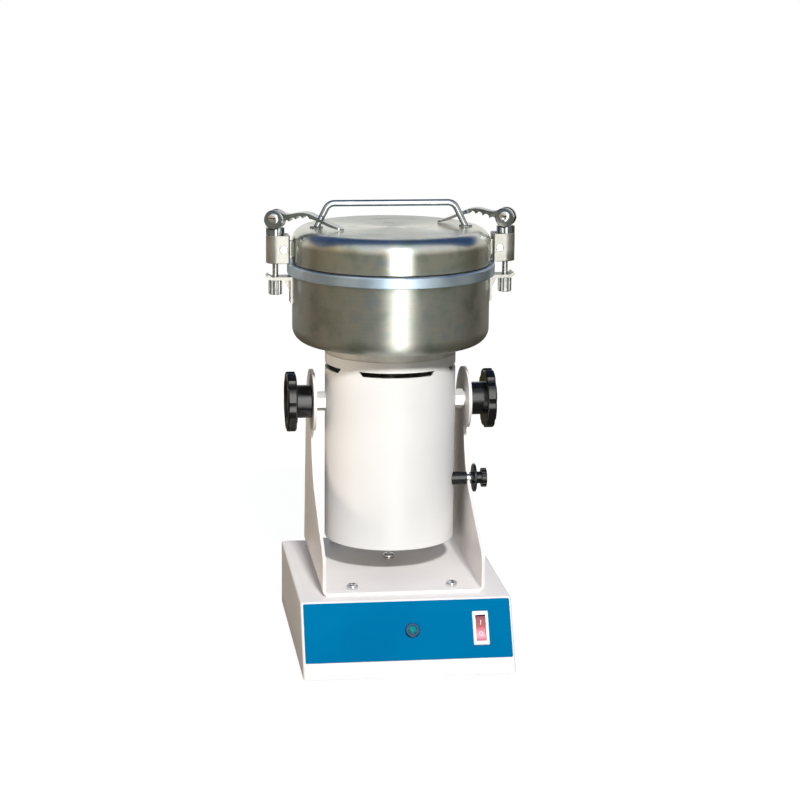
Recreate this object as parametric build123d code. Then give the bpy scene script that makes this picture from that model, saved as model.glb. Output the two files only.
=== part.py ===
from build123d import *
from math import atan2, cos, degrees, radians, sin, sqrt, tan
import os

# Swing type disintegrator mill, in millimetres.
# The functions draw it about the mill's vertical axis, with Z = 0 on the floor and -Y the front.
# The parts are then moved along Y, so that the origin is the middle of the footprint's box.

# Sheet metal base with a sloped front
FOOT_HEIGHT = 3.0
FOOT_RADIUS = 11.0
FOOT_INSET = 22.0
BASE_WIDTH = 204.0
BASE_HEIGHT = 65.0
BASE_SHEET = 1.5
BASE_BACK = 83.0
BASE_FRONT_TOP = -134.5
BASE_FRONT_LEAN = 36.5
BASE_BEND_RADIUS = 2.5
LIP_WIDTH = 14.0
BOTTOM_PLATE_SHEET = 1.5
BOTTOM_PLATE_GAP = 0.3
BASE_SCREW_RADIUS = 2.0
BASE_SCREW_HEAD_RADIUS = 3.8
BASE_SCREW_LENGTH = 8.0

# Front panel, pilot lamp and rocker switch
PANEL_SIDE_MARGIN = 2.5
PANEL_TOP_MARGIN = 1.8
PANEL_HEIGHT = 57.2
PANEL_SHEET = 0.8
PANEL_CORNER_RADIUS = 1.5
LAMP_X = 4.0
LAMP_BODY_RADIUS = 5.0
LAMP_BEZEL_RADIUS = 7.0
LAMP_BEZEL_HEIGHT = 2.2
LAMP_BEZEL_CHAMFER = 0.8
LAMP_LENS_RADIUS = 4.4
LAMP_LENS_RISE = 2.6
LAMP_DEPTH = 22.0
SWITCH_FROM_SIDE = 32.0
SWITCH_WIDTH = 15.3
SWITCH_HEIGHT = 33.0
SWITCH_RIM = 2.0
SWITCH_RIM_CHAMFER = 0.6
SWITCH_CORNER_RADIUS = 1.2
SWITCH_BODY_WIDTH = 12.4
SWITCH_BODY_HEIGHT = 28.0
SWITCH_DEPTH = 18.0
SWITCH_WALL = 1.4
ROCKER_WIDTH = 8.8
ROCKER_HEIGHT = 23.4
ROCKER_PROUD = 0.4
ROCKER_HOLLOW = 1.6
ROCKER_SKIRT = 1.0
ROCKER_TAIL_HALF = 3.5
ROCKER_TAIL_DEPTH = 5.0
ROCKER_TILT = 7.0
ROCKER_PIVOT_DEPTH = 3.0
ROCKER_PIVOT_RADIUS = 1.25
ROCKER_PIVOT_GAP = 0.05
INLET_WIDTH = 30.0
INLET_HEIGHT = 24.0
INLET_FROM_SIDE = 47.0
INLET_DEPTH = 18.0
INLET_RIM = 2.5
INLET_FLANGE = 2.0
INLET_WALL = 1.3
INLET_PIN_PITCH = 6.0
INLET_PIN_SETBACK = 7.0
INLET_PIN_SIZE = (2.0, 4.0)

# Yoke folded from one plate
YOKE_SHEET = 3.0
YOKE_FRONT = -117.5
YOKE_BACK = 79.0
YOKE_BEND_RADIUS = 6.0
ARM_TOE_RADIUS = 9.0
ARM_FRONT_SLOPE = 27.0
ARM_HOLLOW_RADIUS = 75.0
ARM_HOLLOW_BELOW_HEAD = 4.7
ARM_NECK_FRONT = 3.0
ARM_HEAD_RADIUS = 48.0
ARM_HEAD_BACK = 12.0
ARM_HEAD_DROP = 18.5
ARM_DISC_RADIUS = 29.2
YOKE_BOLT_X = 48.5
YOKE_BOLT_FRONT = -103.0
YOKE_BOLT_BACK = 60.0
YOKE_BOLT_RADIUS = 3.0
YOKE_BOLT_HEAD_RADIUS = 5.75
YOKE_BOLT_HEAD_HEIGHT = 4.5
YOKE_BOLT_LENGTH = 12.0
YOKE_BOLT_SOCKET = 4.0
YOKE_NUT_HEX = 10.0
YOKE_NUT_HEIGHT = 5.0

# Motor housing, tilting about the trunnions
AXIS_HEIGHT = 234.6
HOUSING_RADIUS = 65.0
HOUSING_WALL = 2.5
HOUSING_BOTTOM = 96.2
HOUSING_TOP = 284.6
HOUSING_EDGE_RADIUS = 1.0
SLOT_HEIGHT = 5.0
SLOT_COUNT = 4
SLOT_BELOW_TOP = 10.2
SLOT_TOP_ANGLE = 35.0
SLOT_BOTTOM_ANGLE = 31.0
LOWER_SHIELD_RECESS = 3.0
LOWER_SHIELD_THICKNESS = 5.0
UPPER_SHIELD_RADIUS = 63.5
UPPER_SHIELD_HEIGHT = 10.4
SPIGOT_DEPTH = 8.0
SPIGOT_WALL = 4.0
SHIELD_PLATE = 8.0
BEARING_BOSS_WALL = 5.0
BEARING_LEDGE_WIDTH = 4.0
BEARING_LEDGE_HEIGHT = 2.0
BEARING_RECESS = 1.0
BEARING_FIT = 0.03
BEARING_GROOVE_DEPTH = 0.5
LOWER_BEARING_BORE_RADIUS = 6.0
LOWER_BEARING_RADIUS = 16.0
LOWER_BEARING_HEIGHT = 10.0
UPPER_BEARING_BORE_RADIUS = 7.5
UPPER_BEARING_RADIUS = 17.5
UPPER_BEARING_HEIGHT = 11.0
LOWER_VENT_COUNT = 6
LOWER_VENT_RING_RADIUS = 40.0
LOWER_VENT_RADIUS = 3.5

# Motor inside the housing
STATOR_BOTTOM = 130.0
STATOR_HEIGHT = 68.0
STATOR_BORE = 30.0
WINDING_OVERHANG = 13.0
WINDING_INNER = 33.0
WINDING_OUTER = 54.0
ROTOR_GAP = 0.5
SHAFT_RADIUS = 9.0
SHAFT_END_GAP = 0.5
FAN_BOTTOM = 218.0
FAN_HEIGHT = 16.0
FAN_RADIUS = 46.0
FAN_HUB_RADIUS = 15.0
FAN_BLADES = 9
FAN_SHEET = 2.0

# Trunnions, swing knobs and the lock
TRUNNION_RADIUS = 6.0
TRUNNION_BORE_GAP = 0.06
TRUNNION_HEX = 17.0
TRUNNION_HEX_LENGTH = 8.4
TRUNNION_SHOULDER_RADIUS = 7.4
TRUNNION_SHOULDER_LENGTH = 2.3
TRUNNION_NUT_LENGTH = 6.0
TRUNNION_NUT_THREAD = 2.0
TRUNNION_CHAMFER = 0.8
ARM_SIDE_GAP = 0.3
KNOB_RADIUS = 29.8
KNOB_RIM_LENGTH = 9.5
KNOB_HUB_RADIUS = 16.5
KNOB_HUB_LENGTH = 15.5
KNOB_LOBES = 8
KNOB_FLUTE_RADIUS = 9.0
KNOB_FLUTE_DEPTH = 2.0
KNOB_EDGE_RADIUS = 1.6
KNOB_HUB_EDGE_RADIUS = 0.8
KNOB_DISH_RADIUS = 22.0
KNOB_DISH_DEPTH = 1.6
KNOB_BORE_END = 3.5
LOCK_Y = -20.0
LOCK_HEIGHT = 157.3
LOCK_BOSS_RADIUS = 6.5
LOCK_SCREW_RADIUS = 4.0
LOCK_SCREW_GAP = 0.06
LOCK_TIP_GAP = 0.3
LOCK_WHEEL_RADIUS = 14.3
LOCK_WHEEL_THICKNESS = 2.6
LOCK_WHEEL_OFFSET = 3.0
LOCK_HUB_RADIUS = 6.0
LOCK_KNOB_RADIUS = 9.6
LOCK_KNOB_THICKNESS = 4.8
LOCK_KNOB_OFFSET = 11.6
LOCK_KNOB_TEETH = 16
LOCK_TOOTH_RADIUS = 1.0
LOCK_TOOTH_DEPTH = 0.6
LOCK_KNOB_END_WALL = 1.0

# Bowl, rim ring, gasket and lid
BOWL_RADIUS = 97.5
BOWL_WALL = 2.0
BOWL_DEPTH = 79.0
BOWL_CORNER_RADIUS = 15.0
RIM_RADIUS = 102.5
RIM_HEIGHT = 10.8
RIM_EDGE_RADIUS = 1.2
GASKET_HEIGHT = 1.3
GASKET_WIDTH = 6.0
GASKET_INSET = 1.0
LID_RADIUS = 98.0
LID_WALL = 2.0
LID_HEIGHT = 33.2
LID_CORNER_RADIUS = 14.0
HANDLE_ROD_RADIUS = 3.2
HANDLE_HALF_TOP = 62.0
HANDLE_HALF_FOOT = 74.0
HANDLE_RISE = 23.8
HANDLE_BEND_RADIUS = 9.5
HANDLE_FOOT_RADIUS = 5.6
HANDLE_FOOT_HEIGHT = 1.6
BOWL_SCREW_RING_RADIUS = 42.0
BOWL_SCREW_RADIUS = 2.5
BOWL_SCREW_HEAD_RADIUS = 4.6
BOWL_SCREW_HEAD_HEIGHT = 2.6
BOWL_SCREW_HEAD_ROUND = 1.2
BOWL_SCREW_LENGTH = 8.0

# Blades
SEAL_RADIUS = 18.0
SEAL_NECK_RADIUS = 14.0
SEAL_HEIGHT = 4.0
SEAL_TAPER = 2.0
SEAL_GAP = 0.05
COLLAR_GAP = 1.0
BLADE_SHAFT_RADIUS = 6.0
BLADE_SHEET = 2.5
BLADE_REACH = 82.0
UPPER_BLADE_REACH = 62.0
BLADE_WIDTH = 20.0
BLADE_TIP_WIDTH = 13.0
BLADE_LIFT = 30.0
BLADE_KINK = 26.0
BLADE_COLLAR_RADIUS = 11.0
BLADE_COLLAR_HEIGHT = 6.0
BLADE_SPACER_HEIGHT = 14.0
BLADE_NUT_HEIGHT = 9.0
BLADE_NUT_HEX = 19.0
BLADE_NUT_END_WALL = 2.0
BLADE_NUT_ROUND = 2.0

# Over-centre clamps, one each side
ROD_X = 114.2
ROD_RADIUS = 2.75
PIN_X = 106.8
PIN_ABOVE_RIM = 14.2
PIN_RADIUS = 2.0
PIN_HEAD_RADIUS = 3.9
PIN_HEAD_HEIGHT = 1.2
BLOCK_INNER_X = 100.6
BLOCK_OUTER_X = 123.4
BLOCK_HALF_DEPTH = 10.5
BLOCK_HEIGHT = 27.7
BLOCK_EDGE_RADIUS = 0.8
BLOCK_CORNER_RADIUS = 2.0
EAR_THICKNESS = 8.0
EAR_GAP = 0.2
EAR_END_RADIUS = 3.6
EAR_HEIGHT = 15.0
SADDLE_RADIUS = 9.0
SADDLE_HEIGHT = 6.9
SADDLE_SEAT_DEPTH = 1.6
CAM_RADIUS = 9.5
CAM_LENGTH = 14.0
CAM_CHAMFER = 0.8
CAM_OFFSET = 1.2
CAM_GAP = 0.3
CAM_SLOT_GAP = 0.25
CAM_PIN_GAP = 0.05
CAM_PIN_CAP_RADIUS = 5.4
CAM_PIN_CAP_RISE = 1.8
EYE_RADIUS = 5.0
LEVER_TURN = 22.0
LEVER_LENGTH = 69.5
LEVER_WIDTH = 13.0
LEVER_TIP_WIDTH = 11.0
LEVER_TIP_DROP = 8.2
LEVER_TIP_SHEET = 1.6
LEVER_WAIST = 0.78
LEVER_ROOT_X = 8.5
LEVER_ROOT_DROP = 4.0
LEVER_DENT_RADIUS = 3.4
LEVER_DENT_PLACES = ((12.5, -3.1), (19.3, -0.5), (26.1, 1.5), (32.9, 2.1))
FORK_SHEET = 3.0
FORK_BELOW_RIM = 2.3
FORK_HALF_WIDTH = 9.0
FORK_FLAT_END = 119.0
FORK_TIP_RUN = 4.5
FORK_TIP_RISE = 3.0
FORK_SLOT_GAP = 0.5
STRAP_SHEET = 2.5
STRAP_HEIGHT = 26.0
GUSSET_REACH = 6.5
GUSSET_DROP = 13.0
GUSSET_SHEET = 4.0
WELD_OVERLAP = 0.5
NUT_RADIUS = 6.8
NUT_HEIGHT = 14.4
NUT_GAP = 0.3
NUT_GROOVES = 12
NUT_GROOVE_RADIUS = 1.0
NUT_GROOVE_DEPTH = 0.6
NUT_CHAMFER = 0.8
NUT_THREAD_GAP = 0.06
ROD_END_BELOW_NUT = 0.5

# Places worked out from the sizes above
MILL_AXIS_Y = -(BASE_FRONT_TOP - BASE_FRONT_LEAN + max(BASE_BACK, RIM_RADIUS)) / 2
BASE_BOTTOM = FOOT_HEIGHT
BASE_TOP = BASE_BOTTOM + BASE_HEIGHT
PLATE_TOP = BASE_TOP + YOKE_SHEET
SLOPE_LENGTH = sqrt(BASE_HEIGHT ** 2 + BASE_FRONT_LEAN ** 2)
PANEL_MIDDLE = -(PANEL_TOP_MARGIN + PANEL_HEIGHT / 2)
SWITCH_X = BASE_WIDTH / 2 - SWITCH_FROM_SIDE
INLET_X = INLET_FROM_SIDE - BASE_WIDTH / 2
FRONT_SLOPE = Plane(
    origin=(0, BASE_FRONT_TOP, BASE_TOP),
    x_dir=(1, 0, 0),
    z_dir=(0, -BASE_HEIGHT, BASE_FRONT_LEAN),
)
ARM_INNER_X = HOUSING_RADIUS + TRUNNION_HEX_LENGTH + TRUNNION_SHOULDER_LENGTH
ARM_OUTER_X = ARM_INNER_X + YOKE_SHEET
HOUSING_BORE = HOUSING_RADIUS - HOUSING_WALL
BOWL_BOTTOM = HOUSING_TOP + UPPER_SHIELD_HEIGHT
BOWL_FLOOR = BOWL_BOTTOM + BOWL_WALL
BOWL_TOP = BOWL_BOTTOM + BOWL_DEPTH
LID_BOTTOM = BOWL_TOP + GASKET_HEIGHT
LID_TOP = LID_BOTTOM + LID_HEIGHT
PIN_HEIGHT = BOWL_TOP + PIN_ABOVE_RIM
BLOCK_BOTTOM = PIN_HEIGHT - BLOCK_HEIGHT / 2
BLOCK_TOP = BLOCK_BOTTOM + BLOCK_HEIGHT
CAM_HEIGHT = BLOCK_TOP + SADDLE_HEIGHT - SADDLE_SEAT_DEPTH + CAM_GAP + CAM_RADIUS
CAM_PIN_HEIGHT = CAM_HEIGHT + CAM_OFFSET
FORK_TOP = BOWL_TOP - RIM_HEIGHT - FORK_BELOW_RIM
FORK_BOTTOM = FORK_TOP - FORK_SHEET
NUT_TOP = FORK_BOTTOM - NUT_GAP
UPPER_BEARING_TOP = BOWL_BOTTOM - BEARING_RECESS
LOWER_SHIELD_BOTTOM = HOUSING_BOTTOM + LOWER_SHIELD_RECESS
LOWER_BEARING_BOTTOM = LOWER_SHIELD_BOTTOM + LOWER_SHIELD_THICKNESS


def upright(radius, low, high, at=(0, 0)):
    """A solid cylinder about a vertical line."""
    base = (Align.CENTER, Align.CENTER, Align.MIN)
    return Pos(at[0], at[1], low) * Cylinder(radius, high - low, align=base)


def crosswise(radius, start, end, y=0.0, height=0.0):
    """A solid cylinder along X from start to end."""
    base = (Align.CENTER, Align.CENTER, Align.MIN)
    return Pos(start, y, height) * Rot(0, 90, 0) * Cylinder(radius, end - start, align=base)


def block(x_range, y_range, z_range):
    """A box given by its low and high limits."""
    size = [high - low for low, high in (x_range, y_range, z_range)]
    middle = [(high + low) / 2 for low, high in (x_range, y_range, z_range)]
    return Pos(*middle) * Box(*size)


def turned(points):
    """A closed outline of (radius, height) points turned about the vertical axis."""
    return revolve(make_face(Plane.XZ * Polyline(*points, close=True)), Axis.Z)


def hexagon(across_flats, length):
    """A hexagonal prism standing on its end."""
    return extrude(RegularPolygon(across_flats / 2, 6, major_radius=False), length)


def on_slope(x, below_edge, rise=0.0):
    """A place on the sloped front, with its local Z out of the panel."""
    return FRONT_SLOPE * Pos(x, -below_edge, rise)


def other_side(shape):
    """The same piece on the opposite side of the mill's axis."""
    return Rot(0, 0, 180) * shape


# Base

def base_shell():
    side = Polyline(
        (BASE_FRONT_TOP - BASE_FRONT_LEAN, BASE_BOTTOM),
        (BASE_FRONT_TOP, BASE_TOP),
        (BASE_BACK, BASE_TOP),
        (BASE_BACK, BASE_BOTTOM),
        close=True,
    )
    body = extrude(make_face(Plane.YZ * side), BASE_WIDTH / 2, both=True)
    bottom_edges = body.edges().group_by(Axis.Z)[0]
    body = fillet([e for e in body.edges() if e not in bottom_edges], BASE_BEND_RADIUS)
    shell = offset(body, amount=-BASE_SHEET, openings=body.faces().sort_by(Axis.Z)[0])
    lip_low = BASE_BOTTOM + BOTTOM_PLATE_SHEET
    for side_sign in (-1, 1):
        wall = side_sign * (BASE_WIDTH / 2 - BASE_SHEET / 2)
        inside = side_sign * (BASE_WIDTH / 2 - LIP_WIDTH)
        shell += block(
            sorted((wall, inside)),
            (BASE_FRONT_TOP, BASE_BACK - BASE_SHEET - BOTTOM_PLATE_GAP),
            (lip_low, lip_low + BASE_SHEET),
        )
    lamp_cut = on_slope(LAMP_X, -PANEL_MIDDLE) * Cylinder(LAMP_BODY_RADIUS, 4 * BASE_SHEET)
    switch_cut = on_slope(SWITCH_X, -PANEL_MIDDLE) * Box(
        SWITCH_BODY_WIDTH, SWITCH_BODY_HEIGHT, 4 * BASE_SHEET
    )
    inlet_cut = Pos(INLET_X, BASE_BACK, BASE_BOTTOM + BASE_HEIGHT / 2) * Box(
        INLET_WIDTH - 2 * INLET_RIM, 4 * BASE_SHEET, INLET_HEIGHT - 2 * INLET_RIM
    )
    shell -= lamp_cut + switch_cut + inlet_cut
    for spot in yoke_bolt_places():
        shell -= upright(YOKE_BOLT_RADIUS, BASE_TOP - 2 * BASE_SHEET, BASE_TOP + 1, spot)
    lip_high = lip_low + 2 * BASE_SHEET
    for spot in foot_places():
        shell -= upright(BASE_SCREW_RADIUS, BASE_BOTTOM, lip_high, screw_spot(spot))
    return shell


def foot_places():
    side = BASE_WIDTH / 2 - FOOT_INSET
    front = BASE_FRONT_TOP - BASE_FRONT_LEAN + FOOT_INSET
    back = BASE_BACK - FOOT_INSET
    return [(-side, front), (side, front), (-side, back), (side, back)]


def screw_spot(foot):
    """The bottom plate's screw beside a foot, under the middle of the lip."""
    side = BASE_WIDTH / 2 - LIP_WIDTH / 2
    inward = FOOT_RADIUS + 2 * BASE_SCREW_HEAD_RADIUS
    y = foot[1] + (inward if foot[1] < 0 else -inward)
    return (side if foot[0] > 0 else -side, y)


def bottom_plate():
    side = BASE_WIDTH / 2 - BASE_SHEET - BOTTOM_PLATE_GAP
    top = BASE_BOTTOM + BOTTOM_PLATE_SHEET
    wall_run = BASE_SHEET * SLOPE_LENGTH / BASE_HEIGHT
    rise_run = BOTTOM_PLATE_SHEET * BASE_FRONT_LEAN / BASE_HEIGHT
    front = BASE_FRONT_TOP - BASE_FRONT_LEAN + wall_run + rise_run + BOTTOM_PLATE_GAP
    back = BASE_BACK - BASE_SHEET - BOTTOM_PLATE_GAP
    plate = block((-side, side), (front, back), (BASE_BOTTOM, top))
    for spot in foot_places():
        plate -= countersunk(screw_spot(spot))
    return plate


def countersunk(spot):
    """The outline of one countersunk screw driven upward."""
    low = BASE_BOTTOM
    outline = [
        (0, low),
        (BASE_SCREW_HEAD_RADIUS, low),
        (BASE_SCREW_RADIUS, low + BOTTOM_PLATE_SHEET),
        (BASE_SCREW_RADIUS, low + BASE_SCREW_LENGTH),
        (0, low + BASE_SCREW_LENGTH),
    ]
    return Pos(spot[0], spot[1], 0) * turned(outline)


def base_screws():
    return Compound(children=[countersunk(screw_spot(spot)) for spot in foot_places()])


def rubber_feet():
    feet = []
    for x, y in foot_places():
        foot = upright(FOOT_RADIUS, 0, FOOT_HEIGHT, (x, y))
        feet.append(chamfer(foot.edges().sort_by(Axis.Z)[0], FOOT_HEIGHT / 4))
    return Compound(children=feet)


# Front panel, lamp and switch

def front_panel():
    width = BASE_WIDTH - 2 * PANEL_SIDE_MARGIN
    outline = RectangleRounded(width, PANEL_HEIGHT, PANEL_CORNER_RADIUS)
    panel = on_slope(0, -PANEL_MIDDLE) * extrude(outline, PANEL_SHEET)
    panel -= on_slope(LAMP_X, -PANEL_MIDDLE) * Cylinder(LAMP_BODY_RADIUS, 4 * PANEL_SHEET)
    panel -= on_slope(SWITCH_X, -PANEL_MIDDLE) * Box(
        SWITCH_BODY_WIDTH, SWITCH_BODY_HEIGHT, 4 * PANEL_SHEET
    )
    return panel


def pilot_lamp_body():
    low = PANEL_SHEET
    top = PANEL_SHEET + LAMP_BEZEL_HEIGHT
    outline = [
        (0, low - LAMP_DEPTH),
        (LAMP_BODY_RADIUS, low - LAMP_DEPTH),
        (LAMP_BODY_RADIUS, low),
        (LAMP_BEZEL_RADIUS, low),
        (LAMP_BEZEL_RADIUS, top - LAMP_BEZEL_CHAMFER),
        (LAMP_BEZEL_RADIUS - LAMP_BEZEL_CHAMFER, top),
        (LAMP_LENS_RADIUS, top),
        (LAMP_LENS_RADIUS, low),
        (0, low),
    ]
    return on_slope(LAMP_X, -PANEL_MIDDLE) * turned(outline)


def pilot_lamp_lens():
    low = PANEL_SHEET
    middle = low + LAMP_BEZEL_HEIGHT / 2
    dome = Pos(0, 0, middle) * scale(Sphere(LAMP_LENS_RADIUS), (1, 1, LAMP_LENS_RISE / LAMP_LENS_RADIUS))
    dome &= upright(2 * LAMP_LENS_RADIUS, low, middle + 2 * LAMP_LENS_RISE)
    skirt = upright(LAMP_LENS_RADIUS, low, middle)
    return on_slope(LAMP_X, -PANEL_MIDDLE) * (dome + skirt)


def switch_frame():
    low = PANEL_SHEET
    outline = RectangleRounded(SWITCH_WIDTH, SWITCH_HEIGHT, SWITCH_CORNER_RADIUS)
    rim = Pos(0, 0, low) * extrude(outline, SWITCH_RIM)
    rim = chamfer(rim.faces().sort_by(Axis.Z)[-1].edges(), SWITCH_RIM_CHAMFER)
    half_x = SWITCH_BODY_WIDTH / 2
    half_y = SWITCH_BODY_HEIGHT / 2
    body = block((-half_x, half_x), (-half_y, half_y), (low - SWITCH_DEPTH, low))
    well_x = half_x - SWITCH_WALL
    well_y = half_y - SWITCH_WALL
    well_z = (low - SWITCH_DEPTH + SWITCH_WALL, low + 2 * SWITCH_RIM)
    well = block((-well_x, well_x), (-well_y, well_y), well_z)
    pivot = Pos(0, 0, low - ROCKER_PIVOT_DEPTH) * Rot(0, 90, 0) * Cylinder(
        ROCKER_PIVOT_RADIUS, SWITCH_BODY_WIDTH - SWITCH_WALL
    )
    return on_slope(SWITCH_X, -PANEL_MIDDLE) * (rim + body - well + pivot)


def switch_rocker():
    half = ROCKER_HEIGHT / 2
    pivot = PANEL_SHEET - ROCKER_PIVOT_DEPTH
    top = PANEL_SHEET + SWITCH_RIM + ROCKER_PROUD - pivot
    skirt = Polyline(
        (-half, top),
        (-half, -ROCKER_SKIRT),
        (-ROCKER_TAIL_HALF, -ROCKER_TAIL_DEPTH),
        (ROCKER_TAIL_HALF, -ROCKER_TAIL_DEPTH),
        (half, -ROCKER_SKIRT),
        (half, top),
    )
    outline = skirt + ThreePointArc((half, top), (0, top - ROCKER_HOLLOW), (-half, top))
    key = extrude(make_face(Plane.YZ * outline), ROCKER_WIDTH / 2, both=True)
    key -= Rot(0, 90, 0) * Cylinder(ROCKER_PIVOT_RADIUS + ROCKER_PIVOT_GAP, 2 * ROCKER_WIDTH)
    return on_slope(SWITCH_X, -PANEL_MIDDLE, pivot) * Rot(ROCKER_TILT, 0, 0) * key


def power_inlet():
    """A three pin socket for the mains lead, facing the back."""
    half_x = INLET_WIDTH / 2
    half_z = INLET_HEIGHT / 2
    flange = block((-half_x, half_x), (0, INLET_FLANGE), (-half_z, half_z))
    flange = fillet(flange.edges().filter_by(Axis.Y), INLET_RIM)
    body_x = half_x - INLET_RIM
    body_z = half_z - INLET_RIM
    socket = flange + block((-body_x, body_x), (-INLET_DEPTH, 0), (-body_z, body_z))
    well_x = body_x - INLET_WALL
    well_z = body_z - INLET_WALL
    socket -= block((-well_x, well_x), (INLET_WALL - INLET_DEPTH, 2 * INLET_FLANGE), (-well_z, well_z))
    pin_x, pin_z = (size / 2 for size in INLET_PIN_SIZE)
    pin = block((-pin_x, pin_x), (-INLET_DEPTH, -INLET_PIN_SETBACK), (-pin_z, pin_z))
    for x in (-INLET_PIN_PITCH, 0, INLET_PIN_PITCH):
        socket += Pos(x, 0, 0) * pin
    return Pos(INLET_X, BASE_BACK, BASE_BOTTOM + BASE_HEIGHT / 2) * socket


# Yoke

def yoke_bolt_places():
    rows = [(x, y) for x in (-YOKE_BOLT_X, YOKE_BOLT_X) for y in (YOKE_BOLT_FRONT, YOKE_BOLT_BACK)]
    return rows + [(0, 0)]


def arm_profile():
    """Both arms' side view as one long block: toe, sloped front, neck, round head, leaning back."""
    reach = 2 * ARM_OUTER_X
    slope = radians(ARM_FRONT_SLOPE)
    head = (ARM_HEAD_BACK, AXIS_HEIGHT - ARM_HEAD_DROP)
    corner = head[1] - ARM_HOLLOW_BELOW_HEAD - ARM_HOLLOW_RADIUS * tan(radians(45) - slope / 2)
    toe_top = corner - (ARM_NECK_FRONT - YOKE_FRONT) * tan(slope)
    foot = Polyline(
        (YOKE_FRONT, BASE_TOP),
        (YOKE_FRONT, toe_top),
        (ARM_NECK_FRONT, corner),
        (ARM_NECK_FRONT, head[1]),
        (head[0] + ARM_HEAD_RADIUS, head[1]),
        (YOKE_BACK, BASE_TOP),
        close=True,
    )
    plate = extrude(make_face(Plane.YZ * foot), reach, both=True)
    toe = plate.edges().filter_by(Axis.X).sort_by_distance((0, YOKE_FRONT, toe_top))[0]
    plate = fillet(toe, ARM_TOE_RADIUS)
    hollow = plate.edges().filter_by(Axis.X).sort_by_distance((0, ARM_NECK_FRONT, corner))[0]
    plate = fillet(hollow, ARM_HOLLOW_RADIUS)
    back = crosswise(ARM_HEAD_RADIUS, -reach, reach, head[0], head[1])
    back &= block((-reach, reach), (ARM_NECK_FRONT, 2 * YOKE_BACK), (head[1], 2 * AXIS_HEIGHT))
    disc = crosswise(ARM_DISC_RADIUS, -reach, reach, 0, AXIS_HEIGHT)
    return plate + back + disc


def yoke_bracket():
    outer = ARM_OUTER_X
    top = AXIS_HEIGHT + 2 * ARM_DISC_RADIUS
    depth = YOKE_BACK - YOKE_FRONT
    middle_y = (YOKE_BACK + YOKE_FRONT) / 2
    solid = Pos(0, middle_y, (BASE_TOP + top) / 2) * Box(2 * outer, depth, top - BASE_TOP)
    bends = solid.edges().filter_by(Axis.Y).group_by(Axis.Z)[0]
    solid = fillet(bends, YOKE_BEND_RADIUS)
    hollow = Pos(0, middle_y, (PLATE_TOP + top) / 2 + 1) * Box(
        2 * ARM_INNER_X, depth + 2, top - PLATE_TOP + 2
    )
    inner_bends = hollow.edges().filter_by(Axis.Y).group_by(Axis.Z)[0]
    hollow = fillet(inner_bends, YOKE_BEND_RADIUS - YOKE_SHEET)
    channel = solid - hollow
    yoke = channel & arm_profile()
    for spot in yoke_bolt_places():
        yoke -= upright(YOKE_BOLT_RADIUS, BASE_TOP - 1, PLATE_TOP + 1, spot)
    bore = TRUNNION_RADIUS + TRUNNION_BORE_GAP
    yoke -= crosswise(bore, -2 * outer, 2 * outer, 0, AXIS_HEIGHT)
    yoke -= crosswise(LOCK_SCREW_RADIUS + LOCK_SCREW_GAP, 0, 2 * outer, LOCK_Y, LOCK_HEIGHT)
    return yoke


def yoke_bolts():
    bolts = []
    for x, y in yoke_bolt_places():
        head = upright(YOKE_BOLT_HEAD_RADIUS, PLATE_TOP, PLATE_TOP + YOKE_BOLT_HEAD_HEIGHT)
        head = fillet(head.edges().sort_by(Axis.Z)[-1], YOKE_BOLT_HEAD_HEIGHT * 0.6)
        socket = Pos(0, 0, PLATE_TOP + YOKE_BOLT_HEAD_HEIGHT / 2) * hexagon(
            YOKE_BOLT_SOCKET, YOKE_BOLT_HEAD_HEIGHT
        )
        shank = upright(YOKE_BOLT_RADIUS, PLATE_TOP - YOKE_BOLT_LENGTH, PLATE_TOP)
        nut = Pos(0, 0, BASE_TOP - BASE_SHEET - YOKE_NUT_HEIGHT) * hexagon(YOKE_NUT_HEX, YOKE_NUT_HEIGHT)
        bolts.append(Pos(x, y, 0) * (head - socket + shank + nut))
    return Compound(children=bolts)


# Motor housing

def motor_housing():
    tube = upright(HOUSING_RADIUS, HOUSING_BOTTOM, HOUSING_TOP)
    tube = fillet(tube.edges().group_by(Axis.Z)[0], HOUSING_EDGE_RADIUS)
    tube -= upright(HOUSING_BORE, HOUSING_BOTTOM - 1, HOUSING_TOP + 1)
    top_half = HOUSING_RADIUS * sin(radians(SLOT_TOP_ANGLE))
    low_half = HOUSING_RADIUS * sin(radians(SLOT_BOTTOM_ANGLE))
    top = HOUSING_TOP - SLOT_BELOW_TOP
    low = top - SLOT_HEIGHT
    outline = Polyline(
        (-top_half, top),
        (top_half, top),
        (low_half, low),
        (-low_half, low),
        close=True,
    )
    slot = extrude(make_face(Plane.XZ * outline), 2 * HOUSING_RADIUS)
    for turn in range(SLOT_COUNT):
        tube -= Rot(0, 0, 360 * turn / SLOT_COUNT) * slot
    tube -= crosswise(TRUNNION_RADIUS, -2 * HOUSING_RADIUS, 2 * HOUSING_RADIUS, 0, AXIS_HEIGHT)
    tube -= crosswise(LOCK_SCREW_RADIUS, 0, 2 * HOUSING_RADIUS, LOCK_Y, LOCK_HEIGHT)
    return tube


def lower_end_shield():
    outer = LOWER_BEARING_RADIUS
    height = LOWER_BEARING_HEIGHT
    low = LOWER_SHIELD_BOTTOM
    top = low + LOWER_SHIELD_THICKNESS
    boss = outer + BEARING_BOSS_WALL
    outline = [
        (0, low),
        (HOUSING_BORE, low),
        (HOUSING_BORE, top),
        (boss, top),
        (boss, LOWER_BEARING_BOTTOM + height),
        (outer, LOWER_BEARING_BOTTOM + height),
        (outer, LOWER_BEARING_BOTTOM),
        (0, LOWER_BEARING_BOTTOM),
    ]
    shield = turned(outline)
    for spot in PolarLocations(LOWER_VENT_RING_RADIUS, LOWER_VENT_COUNT):
        shield -= spot * Pos(0, 0, low) * Cylinder(LOWER_VENT_RADIUS, 4 * LOWER_SHIELD_THICKNESS)
    return shield


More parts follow.
